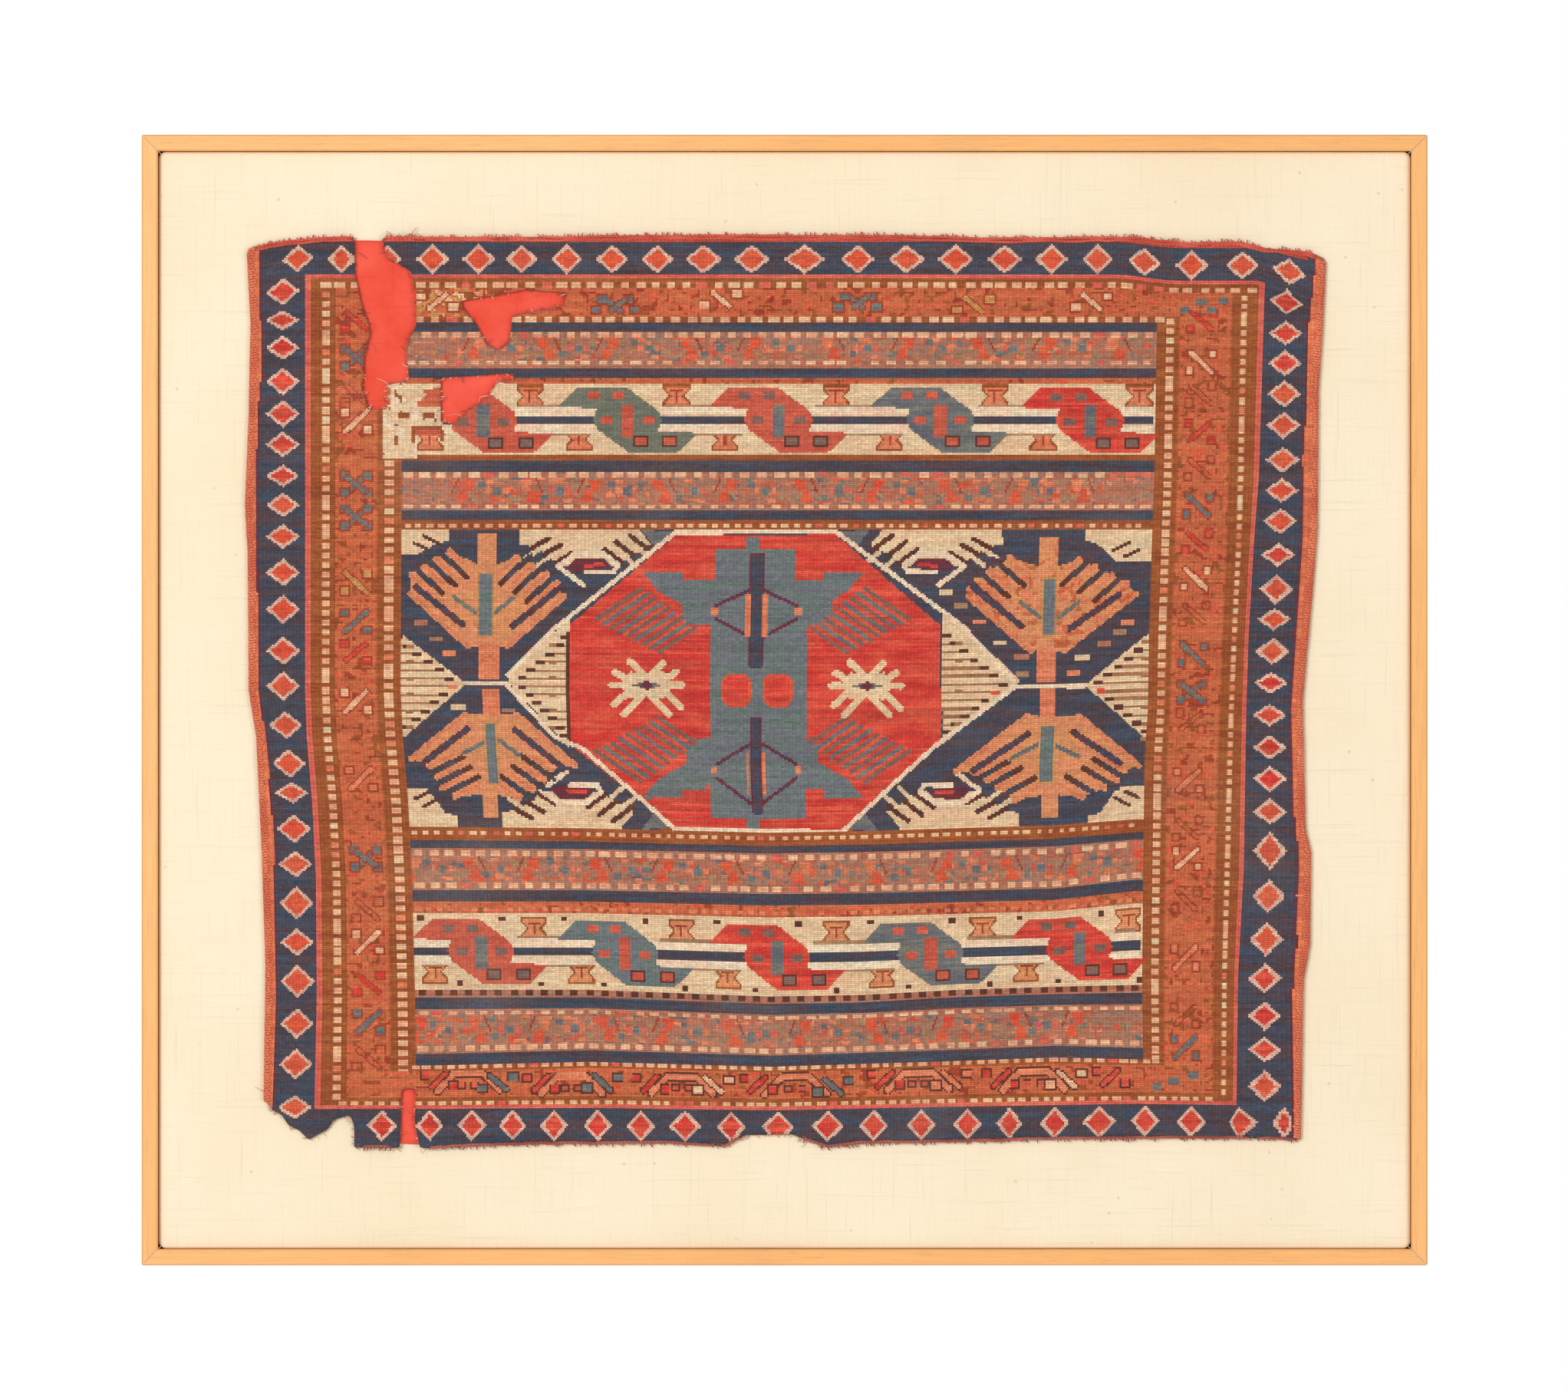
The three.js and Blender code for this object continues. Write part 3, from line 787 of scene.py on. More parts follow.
def middle_field(chart):
    chart.block(524, 690, 1510, 1079, "navy")
    chart.block(860, 1066, 1120, 1079, "brown")
    chart.worn = True
    for u, v, flip in (
        (765, 689, (1, 1)), (1219, 689, (-1, 1)), (743, 1079, (1, -1)), (1240, 1079, (-1, -1)),
    ):
        hooked_form(chart, (u, v), flip)
    corner_form(chart, 60, 33, (524, 689), (1, 1))
    corner_form(chart, 85, 42, (1500, 689), (-1, 1))
    corner_form(chart, 72, 52, (524, 1079), (1, -1))
    corner_form(chart, 82, 54, (1500, 1079), (-1, -1))
    comb_triangle(chart, (608, 891), 512, 818, 974, "coral")
    chart.polygon([(662, 882), (723, 823), (742, 806), (742, 832), (664, 892)], "ivory")
    chart.polygon([(1330, 888), (1262, 820), (1228, 799), (1228, 832), (1322, 895)], "ivory")
    comb_triangle(chart, (662, 889), 742, 818, 974, "maroon")
    comb_triangle(chart, (1322, 892), 1228, 815, 971, "flame")
    comb_triangle(chart, (1414, 893), 1514, 813, 983, "flame")
    four_trees(chart)
    for u, v, flip in (
        (853, 690, (1, 1)), (1117, 690, (-1, 1)), (853, 1081, (1, -1)), (1128, 1083, (-1, -1)),
    ):
        chart.polygon([(-17, 0), (27, 3), (0, 22)], "slate", (u, v), flip)
    outlined_field(chart)
    centre_cross(chart)
    small_star(chart, (843, 892))
    small_star(chart, (1130, 893))
    confetti(chart)
    chart.worn = False


def mottle(chart, box, ground, yarns, share, dice):
    """Small uneven flecks of other yarns on one ground, as worn and uneven dye leaves it."""
    part = chart.yarn[chart.window(*box)]
    for yarn in yarns:
        flecks = smooth_noise(part.shape, 3.2, 2.2, dice) > 1 - share
        part[flecks & (part == YARN_INDEX[ground])] = YARN_INDEX[yarn]


# Beside the largest hole the wool is worn off to the ivory ground, with a few bits left, in part placed
def worn_corner(chart, dice):
    for box in ((499, 500, 545, 597), (545, 531, 578, 557)):
        part = chart.yarn[chart.window(*box)]
        bare = smooth_noise(part.shape, 3, 3, dice) > 0.12
        part[bare] = YARN_INDEX["ivory"]
        part[bare & (smooth_noise(part.shape, 2, 4, dice) > 0.62)] = YARN_INDEX["blush"]
    chart.blocks((
        (520, 538, 534, 546), (553, 538, 567, 546), (538, 556, 578, 561), (538, 561, 542, 578),
        (576, 561, 580, 575), (514, 568, 520, 580),
    ), "brown")
    chart.block(542, 561, 576, 567, "coral_red")
    chart.blocks((
        (504, 505, 509, 514), (504, 520, 510, 528), (553, 508, 573, 512), (545, 523, 573, 527),
    ), "rust")


# Straight bands across the middle: top, bottom, yarn
BANDS = (
    (421, 433, "navy"), (433, 480, "faded"), (480, 493, "navy"), (493, 499, "rust"), (499, 593, "ivory"),
    (593, 600, "brown"), (600, 614, "navy"), (614, 664, "faded"), (664, 677, "navy"), (677, 690, "brown"),
    (1078, 1094, "brown"), (1094, 1105, "navy"), (1105, 1161, "faded"), (1161, 1176, "navy"),
    (1176, 1191, "rust"), (1191, 1291, "ivory"), (1291, 1301, "faded"), (1301, 1316, "navy"),
    (1316, 1372, "faded"), (1372, 1388, "navy"),
)


def draw_chart():
    dice = np.random.default_rng(SEED)
    chart = Chart()
    outer_lozenges(chart, dice)
    side_edges(chart)
    chart.block(337, 285, 1706, 315, "crimson")
    chart.block(337, 1494, 1706, 1515, "maroon")
    chart.block(397, 357, 1650, 1445, "pink")
    chart.block(404, 363, 1642, 1441, "brown")
    dash_row(chart, 414, 1640, 372, 20.5, (13, 6.5), "bead", dice)
    dash_row(chart, 425, 1612, 1437, 16, (10, 5.5), "bead", dice)
    bead_column(chart, 424, 380, 1436, 10, dice)
    bead_column(chart, 1624, 380, 1436, 9, dice)
    chart.block(437, 376, 1608, 1431, "rust")
    rust_border(chart)
    chart.block(493, 412, 1540, 1395, "brown")
    dash_row(chart, 515, 1522, 416, 21, (13, 6), "bead", dice)
    dash_row(chart, 515, 1522, 1391, 16, (10, 5.5), "bead", dice)
    middle_field(chart)
    for top, bottom, yarn in BANDS:
        chart.block(524, top, 1510, bottom, yarn)
    for band in GUARD_BANDS:
        guard_band(chart, *band, dice)
    chart.block(493, 421, 524, 1388, "brown")
    chart.block(1510, 421, 1538, 1388, "brown")
    bead_column(chart, 508.5, 600, 1394, 12.4, dice)
    bead_column(chart, 1526.5, 414, 1394, 10, dice)
    for v in (436, 473, 619, 660, 1111, 1154, 1320, 1366):
        dash_row(chart, 524, 1508, v, 21, (12.5, 6), "bead", dice)
    for v, yarn in ((684, "bead"), (1086, "bead"), (1184, "coral")):
        dash_row(chart, 524, 1508, v, 15.5, (8, 5), yarn, dice)
    for u in np.arange(536, 1506, 20.5):
        chart.block(u - 5, 1291, u + 5, 1297, "umber")
    # Each ivory band: the large hooks' middles and the hourglasses, read off the photo in pixels. The
    # heights are the band's own middle, 1015 is the middle between two squares, and 1013 is an early reading.
    centres = [(630, 548), (818, 547), (1015, 547), (1226, 547), (1421, 548)]
    glasses = ((691, 882, 1090, 1297, 1486), (560, 755, 945, 1160, 1360))
    grounds = ("coral_red", "moss", "coral_red", "slate", "red")
    ivory_band(chart, 499, 593, centres, grounds, glasses, "coral", False)
    centres = [(627, 1240), (815, 1241), (1013, 1241), (1213, 1241), (1407, 1241)]
    glasses = ((696, 888, 1090, 1281, 1471), (567, 758, 949, 1150, 1338))
    grounds = ("coral_red", "teal", "red", "slate", "red")
    ivory_band(chart, 1193, 1291, centres, grounds, glasses, "tan", True)
    mottle(chart, (437, 376, 1608, 1431), "rust", ("rust_deep", "brown", "lozenge"), 0.22, dice)
    mottle(chart, (1262, 700, 1490, 850), "tan", ("rust", "coral"), 0.3, dice)
    mottle(chart, (545, 366, 640, 412), "rust", ("gold", "bead"), 0.4, dice)
    for top, bottom in ((439, 470), (622, 657), (1114, 1151), (1323, 1363)):
        mottle(chart, (524, top, 1510, bottom), "faded", ("lozenge", "slate", "coral", "thread"), 0.2, dice)
    worn_corner(chart, dice)
    return chart


def smooth_noise(shape, across, down, dice):
    """Soft noise between 0 and 1: random values on a coarse grid, joined in straight lines."""
    rows, columns = shape
    coarse = dice.random((int(rows / down) + 2, int(columns / across) + 2))
    u, v = np.arange(columns) / across, np.arange(rows) / down
    wide = np.stack([np.interp(u, np.arange(coarse.shape[1]), row) for row in coarse])
    return np.stack([np.interp(v, np.arange(coarse.shape[0]), wide[:, k]) for k in range(columns)], axis=1)


def dyed_colours(chart):
    """Each stitch's colour: its yarn's tone with drift, streaks along the rows and small differences."""
    dice = np.random.default_rng(SEED + 1)
    main, second, streaky = (np.array(column, dtype=float) for column in zip(*YARNS.values()))
    shape = chart.yarn.shape
    drift = 0.55 * smooth_noise(shape, 9, 3, dice) + 0.45 * smooth_noise(shape, 40, 1.0, dice)
    drift = np.clip((drift - 0.5) * 2.2 + 0.5, 0, 1)[..., None]
    colour = main[chart.yarn] * (1 - drift) + second[chart.yarn] * drift
    streaks = smooth_noise(shape, 26, 1.01, dice) - 0.5
    stitches = np.repeat(dice.random((shape[0], (shape[1] + 1) // 2)), 2, axis=1)[:, : shape[1]] - 0.5
    light = 1 + streaky[chart.yarn] * 2.0 * streaks + 0.12 * stitches
    return np.clip(colour * light[..., None], 0, 255)


# Looks
BAG_THICK = 2.2 * MM
BACK_TONE = paint(176, 104, 76)[:3]


def wool_material():
    """Soumak: rows of slanting wrapped stitches, each row leaning the other way, with painted shade darkening
    the grooves between them.
    """
    look = Shader("soumak_wool")
    right, upper = (look.math("GREATER_THAN", side, 0.5) for side in look.parts(look.uv("in_square"))[:2])

    def cell(name):
        return look.node("ShaderNodeAttribute", attribute_name="stitch_" + name).outputs["Color"]

    low, high = (look.mix(right, cell(row + "_left"), cell(row + "_right")) for row in ("lower", "upper"))
    dyed = look.mix(upper, low, high)

    across, up, _ = look.parts(look.uv("along_rows"))
    row_place = up * 2.0
    row = look.math("FLOOR", row_place)
    in_row = row_place - row
    odd = look.math("MODULO", abs(row), 2.0)
    stitch_place = across + (odd * 2.0 - 1.0) * in_row * 0.42 + odd * 0.5
    stitch = look.math("FLOOR", stitch_place)
    in_stitch = stitch_place - stitch
    plump = look.hump(in_row) ** 0.6 * look.hump(in_stitch) ** 0.5

    each = look.node("ShaderNodeCombineXYZ")
    look.feed(each.inputs[0], stitch)
    look.feed(each.inputs[1], row)
    chance = look.node("ShaderNodeTexWhiteNoise", noise_dimensions="3D")
    look.feed(chance.inputs[0], each.outputs[0])
    own_tone = look.spread(chance.outputs[0], 0, 1, 0.9, 1.08)
    # Painted shade and light: the grooves between stitches and rows are darkened to 0.70, the stitch crowns
    # lightened to 1.04
    painted_groove_shade = look.spread(plump, 0, 0.9, 0.70, 1.04)
    fibre = look.noise(look.place((1, 1, 1.6)), 2600, 2)
    # shade holds each stitch's own tone, the painted groove shade and the fibres' tone
    shade = own_tone * painted_groove_shade * look.spread(fibre, 0.3, 0.7, 0.94, 1.05)
    wear = look.spread(look.noise(look.place(), 9, 4, 0.6), 0.55, 0.8, 0, 0.10)
    colour = look.shaded(look.mix(wear, dyed, paint(222, 190, 160)), shade)
    normal = look.bump(plump + fibre * 0.25, 0.45 * MM, 0.75)
    rough = look.spread(fibre, 0.3, 0.7, 0.86, 0.98)
    return look.finish(colour, rough, normal, Sheen_Weight=0.12, Sheen_Roughness=0.5, Specular_IOR_Level=0.18)


def yarn_material(name, main, second):
    """A plied wool yarn with painted shade between its plies; its pieces carry a UV map that runs along the
    yarn.
    """
    look = Shader(name)
    along, around, _ = look.parts(look.uv("along_yarn"))
    ply = abs(look.hump(along * 2.0 + around))
    drift = look.spread(look.noise(look.place(), 60, 3), 0.35, 0.65)
    hairs = look.noise(look.place(), 3200, 2)
    # Painted shade and light: the dips between plies are darkened to 0.72, the ply crowns lightened to 1.05;
    # the hairs vary the tone
    shade = look.spread(ply, 0, 1, 0.72, 1.05) * look.spread(hairs, 0.3, 0.7, 0.92, 1.06)
    colour = look.shaded(look.mix(drift, paint(*main), paint(*second)), shade)
    normal = look.bump(ply + hairs * 0.4, 0.15 * MM, 0.8)
    return look.finish(colour, 0.92, normal, Sheen_Weight=0.15, Specular_IOR_Level=0.2)


def plain_weave_material(name, main, second, pitch, speck, soft_fold, cloud_scale):
    """Plain-woven cloth: over-and-under threads with painted shade where they dip, slubs along both ways and
    a few specks.
    """
    look = Shader(name)
    where = look.place()
    across, depth, up = look.parts(where)
    turns = HALF_TURN / pitch
    weave = abs(look.math("SINE", across * turns) * look.math("SINE", (up - depth) * turns))
    slubs = []
    for stretch in ((900, 900, 22), (22, 900, 900)):
        slubs.append(look.spread(look.noise(look.place(stretch), 1, 2), 0.6, 0.78))
    slub = look.math("MAXIMUM", *slubs)
    cloud = look.noise(where, cloud_scale, 4, 0.6)
    base = look.mix(look.spread(cloud, 0.35, 0.68), paint(*main), paint(*second))
    toned = look.mix(slub * 0.22, base, paint(*speck))
    dots = look.node("ShaderNodeTexVoronoi", feature="F1")
    look.feed(dots.inputs["Vector"], where)
    dots.inputs["Scale"].default_value = 55
    fleck = look.spread(dots.outputs["Distance"], 0.035, 0.06, 0.45, 0)
    # Painted shade and light: the weave's dips are darkened to 0.93, the threads' crowns lightened to 1.02
    colour = look.shaded(look.mix(fleck, toned, paint(*speck)), look.spread(weave, 0, 1, 0.93, 1.02))
    under = look.bump(look.noise(where, 30, 3), 1.2 * MM, soft_fold)
    normal = look.bump(weave + slub, 0.12 * MM, 0.55, under)
    rough = look.spread(cloud, 0.3, 0.7, 0.88, 0.97)
    return look.finish(colour, rough, normal, Sheen_Weight=0.08, Specular_IOR_Level=0.2)


def wood_material(name, along_up, main, second):
    """Pale close-grained wood with a thin satin finish, its grain along the rail."""
    look = Shader(name)

    def along_rail(across_grain, with_grain):
        grain = (across_grain, across_grain, with_grain)
        return look.place(grain if along_up else grain[::-1])

    rings = look.noise(along_rail(60, 3), 1.2, 4, 0.55, 0.4)
    fine = look.noise(along_rail(900, 28), 1, 3, 0.6)
    pores = look.spread(look.noise(along_rail(2.2 * 900, 2.2 * 28), 1, 2), 0.62, 0.74)
    base = look.mix(look.spread(rings, 0.3, 0.7), paint(*main), paint(*second))
    grained = look.mix(look.spread(fine, 0.4, 0.75) * 0.35, base, paint(206, 146, 88))
    pored = look.mix(pores * 0.3, grained, paint(150, 96, 52))
    hands = look.spread(look.noise(look.place(), 14, 3), 0.6, 0.8, 0, 0.14)
    normal = look.bump(fine - pores * 0.8, 0.08 * MM, 0.5)
    rough = look.spread(fine, 0.3, 0.7, 0.42, 0.58)
    return look.finish(look.mix(hands, pored, paint(186, 132, 84)), rough, normal,
                       Coat_Weight=0.12, Coat_Roughness=0.35)


def board_material():
    """Grey-cream mount board with paper fibres and its layers showing on the edges."""
    look = Shader("mount_board")
    fibres = look.noise(look.place((260, 260, 900)), 1, 3, 0.6, 0.5)
    cloud = look.noise(look.place(), 8, 3)
    layers = abs(look.math("SINE", look.parts(look.place())[1] * 3200))
    base = look.mix(look.spread(cloud, 0.35, 0.65), paint(220, 212, 196), paint(215, 207, 191))
    fibred = look.mix(look.spread(fibres, 0.55, 0.75) * 0.35, base, paint(186, 176, 156))
    normal = look.bump(fibres + layers * 0.3, 0.1 * MM, 0.5)
    return look.finish(fibred, look.spread(fibres, 0.3, 0.7, 0.85, 0.95), normal)


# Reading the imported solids
def welded(node):
    """The node's points, joined where they meet, and its faces with their outward directions."""
    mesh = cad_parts[node].data
    places, index, found = [], [], {}
    for vertex in mesh.vertices:
        key = tuple(round(value * 1e6) for value in vertex.co)
        if key not in found:
            found[key] = len(places)
            places.append(vertex.co.copy())
        index.append(found[key])
    faces = [([index[v] for v in face.vertices], face.normal.copy()) for face in mesh.polygons]
    return places, faces


def front_loops(places, faces):
    """The outline and holes of the faces that look to the front, each as a ring of points."""
    edges = {}
    for corners, normal in faces:
        if normal.y < -0.5:
            for pair in zip(corners, corners[1:] + corners[:1]):
                edges[pair] = True
    following = {a: b for a, b in edges if (b, a) not in edges}
    loops = []
    while following:
        start = next(iter(following))
        ring, here = [], start
        while here in following:
            ring.append(tuple(places[here]))
            here = following.pop(here)
        loops.append(np.array(ring))
    return loops


def inside_loops(across, up, loops):
    inside = np.zeros(across.shape, dtype=bool)
    for ring in loops:
        for (x0, _, z0), (x1, _, z1) in zip(ring, np.roll(ring, -1, axis=0)):
            if z0 != z1:
                crosses = (z0 > up) != (z1 > up)
                inside ^= crosses & (across < (x1 - x0) * (up - z0) / (z1 - z0) + x0)
    return inside


def nearest_on_loops(across, up, loops):
    """For each place the nearest point of the outlines, with its distance."""
    best = np.full(across.shape, np.inf)
    found = np.zeros((*across.shape, 3))
    for ring in loops:
        for start, end in zip(ring, np.roll(ring, -1, axis=0)):
            run = end - start
            length = run[0] ** 2 + run[2] ** 2
            if length < 1e-14:
                continue
            part = np.clip(((across - start[0]) * run[0] + (up - start[2]) * run[2]) / length, 0, 1)
            point = start + part[..., None] * run
            gap = np.hypot(across - point[..., 0], up - point[..., 2])
            closer = gap < best
            best[closer] = gap[closer]
            found[closer] = point[closer]
    return found, best


def met_depth(tree, across, up, from_front=True):
    """Where a line along Y first meets the solid, from the front or from the back."""
    start_y, way = (-0.2, 1) if from_front else (0.2, -1)
    hit = tree.ray_cast(Vector((across, start_y, up)), Vector((0, way, 0)))[0]
    return None if hit is None else hit.y


def cloth_place(u, v):
    """The place across and up, in metres, of a point of the chart."""
    across = u + shift_from(SHIFT_ACROSS, u, v) - CHART_MIDDLE[0]
    down = v + shift_from(SHIFT_DOWN, u, v) + corner_sag(u, v) - CHART_MIDDLE[1]
    return across * CHART_UNIT, FRAME_MIDDLE_UP - down * CHART_UNIT


# Mesh building
def new_piece(name, places, faces, material, smooth=True):
    mesh = bpy.data.meshes.new(name)
    mesh.from_pydata([tuple(place) for place in places], [], faces)
    mesh.polygons.foreach_set("use_smooth", [smooth] * len(mesh.polygons))
    mesh.materials.append(material)
    mesh.update()
    piece = bpy.data.objects.new(name, mesh)
    bpy.context.scene.collection.objects.link(piece)
    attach(piece, "root")
    return piece


STITCHES_PER_QUAD = 2
BLOCK = 4
EDGE_ROUND = 0.5 * MM


def kept_quads(chart, loops):
    """The chart's corners on the cloth, and which of its squares of stitches lie on it."""
    rows, columns = chart.rows // STITCHES_PER_QUAD, chart.columns // STITCHES_PER_QUAD
    step = CELL * STITCHES_PER_QUAD
    u, v = np.meshgrid(CHART_LEFT + step * np.arange(columns + 1), CHART_TOP + step * np.arange(rows + 1))
    across, up = cloth_place(u, v)
    middle_across, middle_up = cloth_place(u[:-1, :-1] + step / 2, v[:-1, :-1] + step / 2)
    kept = inside_loops(middle_across, middle_up, loops)
    padded = np.pad(kept, 1)
    around = padded[:-2, 1:-1].astype(int) + padded[2:, 1:-1] + padded[1:-1, :-2] + padded[1:-1, 2:]
    kept &= around > 1
    # Two squares that touch only at a corner are joined by a third
    lone = kept[:-1, :-1] & kept[1:, 1:] & ~kept[:-1, 1:] & ~kept[1:, :-1]
    kept[:-1, 1:] |= lone
    lone = ~kept[:-1, :-1] & ~kept[1:, 1:] & kept[:-1, 1:] & kept[1:, :-1]
    kept[:-1, :-1] |= lone
    return across, up, kept


def corner_counts(kept):
    counts = np.zeros((kept.shape[0] + 1, kept.shape[1] + 1), dtype=int)
    for down in (0, 1):
        for along in (0, 1):
            counts[down : down + kept.shape[0], along : along + kept.shape[1]] += kept
    return counts


def back_faces(kept, counts):
    """Coarse blocks inside and single squares by the edge, as rings of corner places."""
    rows, columns = kept.shape
    coarse = np.zeros((rows // BLOCK + 1, columns // BLOCK + 1), dtype=bool)
    for r in range(rows // BLOCK):
        for c in range(columns // BLOCK):
            corners = counts[r * BLOCK : (r + 1) * BLOCK + 1, c * BLOCK : (c + 1) * BLOCK + 1]
            coarse[r, c] = corners.min() == 4
    rings = []
    for r, c in zip(*np.nonzero(kept)):
        if not coarse[r // BLOCK, c // BLOCK]:
            rings.append([(r, c), (r, c + 1), (r + 1, c + 1), (r + 1, c)])
    for r, c in zip(*np.nonzero(coarse)):
        top, left, bottom, right = r * BLOCK, c * BLOCK, (r + 1) * BLOCK, (c + 1) * BLOCK
        ring = []
        for beside, side in (
            (coarse[r - 1, c] if r else False, [(top, left + k) for k in range(BLOCK)]),
            (coarse[r, c + 1], [(top + k, right) for k in range(BLOCK)]),
            (coarse[r + 1, c], [(bottom, right - k) for k in range(BLOCK)]),
            (coarse[r, c - 1] if c else False, [(bottom - k, left) for k in range(BLOCK)]),
        ):
            ring += side[:1] if beside else side
        rings.append(ring)
    return rings


def make_bag_face(chart, colours, material):
    places, faces = welded("bag_face")
    loops = front_loops(places, faces)
    tree = BVHTree.FromPolygons(places, [corners for corners, _ in faces])
    across, up, kept = kept_quads(chart, loops)
    counts = corner_counts(kept)
    used, rim = counts > 0, (counts > 0) & (counts < 4)
    snapped, _ = nearest_on_loops(across[rim], up[rim], loops)
    across[rim], up[rim] = snapped[:, 0], snapped[:, 2]
    front, back = np.zeros(across.shape), np.zeros(across.shape)
    inner = used & ~rim
    for depths, from_front in ((front, True), (back, False)):
        depths[inner] = [met_depth(tree, *place, from_front) for place in zip(across[inner], up[inner])]
    front[rim] = snapped[:, 1] + EDGE_ROUND
    back[rim] = snapped[:, 1] + BAG_THICK - EDGE_ROUND / 2
    dice = np.random.default_rng(SEED + 2)
    lively = smooth_noise(across.shape, 7, 3, dice) - 0.5
    front[inner] += 0.16 * MM * lively[inner]

    number = np.full(across.shape, -1)
    number[used] = np.arange(used.sum())
    points = list(zip(across[used], front[used], up[used]))
    squares = [
        [number[r + 1, c], number[r + 1, c + 1], number[r, c + 1], number[r, c]]
        for r, c in zip(*np.nonzero(kept))
    ]
    rings = back_faces(kept, counts)
    back_number = {}
    for ring in rings:
        for place in ring:
            if place not in back_number:
                back_number[place] = len(points)
                points.append((across[place], back[place], up[place]))
    faces_made = squares + [[back_number[place] for place in ring] for ring in rings]
    padded = np.pad(kept, 1)
    for r, c in zip(*np.nonzero(kept)):
        for beside, (a, b) in (
            (padded[r, c + 1], ((r, c), (r, c + 1))),
            (padded[r + 2, c + 1], ((r + 1, c + 1), (r + 1, c))),
            (padded[r + 1, c], ((r + 1, c), (r, c))),
            (padded[r + 1, c + 2], ((r, c + 1), (r + 1, c + 1))),
        ):
            if not beside:
                faces_made.append([number[a], number[b], back_number[b], back_number[a]])
    piece = new_piece("soumak_bag_face", points, faces_made, material)
    mesh = piece.data

    count = len(mesh.polygons)
    r, c = (np.array(part) for part in np.nonzero(kept))
    cells = {
        "stitch_upper_left": colours[2 * r, 2 * c],
        "stitch_upper_right": colours[2 * r, 2 * c + 1],
        "stitch_lower_left": colours[2 * r + 1, 2 * c],
        "stitch_lower_right": colours[2 * r + 1, 2 * c + 1],
    }
    back_tone = np.array(BACK_TONE)
    for name, values in cells.items():
        stored = np.ones((count, 4), dtype=np.float32)
        stored[:, :3] = back_tone
        stored[: len(r), :3] = values
        layer = mesh.attributes.new(name, "FLOAT_COLOR", "FACE")
        layer.data.foreach_set("color", stored.ravel())
    in_quad = np.zeros((len(mesh.loops), 2), dtype=np.float32)
    along = np.zeros((len(mesh.loops), 2), dtype=np.float32)
    corner = np.array([(0, 0), (1, 0), (1, 1), (0, 1)], dtype=np.float32)
    in_quad[: 4 * len(r)] = np.tile(corner, (len(r), 1))
    along[: 4 * len(r)] = np.tile(corner, (len(r), 1)) + np.repeat(np.stack([c, -r - 1], axis=1), 4, axis=0)
    rest = mesh.loops[4 * len(r) :]
    loose = np.array([mesh.vertices[loop.vertex_index].co for loop in rest], dtype=np.float32)
    quad_side = CELL * STITCHES_PER_QUAD * CHART_UNIT
    along[4 * len(r) :] = loose[:, [0, 2]] / quad_side + loose[:, [1]] / quad_side
    for name, values in (("in_square", in_quad), ("along_rows", along)):
        layer = mesh.uv_layers.new(name=name)
        layer.data.foreach_set("uv", values.ravel())
    return piece, loops, tree


# Linen panel
LINEN_THICK = 1 * MM
LINEN_TURN_IN = 32 * MM
PANEL_CORNER = 3 * MM
CORNER_STEPS = 8
SIDE_STEPS = 40


def rounded_ring(box, inset, depth, radius):
    """A rectangle with round corners, drawn in by the inset; every ring has the same number of points."""
    left, bottom, right, top = box[0] + inset, box[1] + inset, box[2] - inset, box[3] - inset
    arms = ((right - radius, bottom + radius, -90), (right - radius, top - radius, 0))
    arms += ((left + radius, top - radius, 90), (left + radius, bottom + radius, 180))
    ring = []
    for number, (across, up, start) in enumerate(arms):
        turns = np.radians(start + np.linspace(0, 90, CORNER_STEPS + 1))
        corner = [(across + radius * np.cos(turn), up + radius * np.sin(turn)) for turn in turns]
        following = arms[(number + 1) % 4]
        turn = np.radians(following[2])
        ahead = (following[0] + radius * np.cos(turn), following[1] + radius * np.sin(turn))
        shares = np.linspace(0, 1, SIDE_STEPS + 1)[1:-1]
        last = np.array(corner[-1])
        side = [tuple(last * (1 - share) + np.multiply(ahead, share)) for share in shares]
        ring += corner + side
    return [(across, depth, up) for across, up in ring]


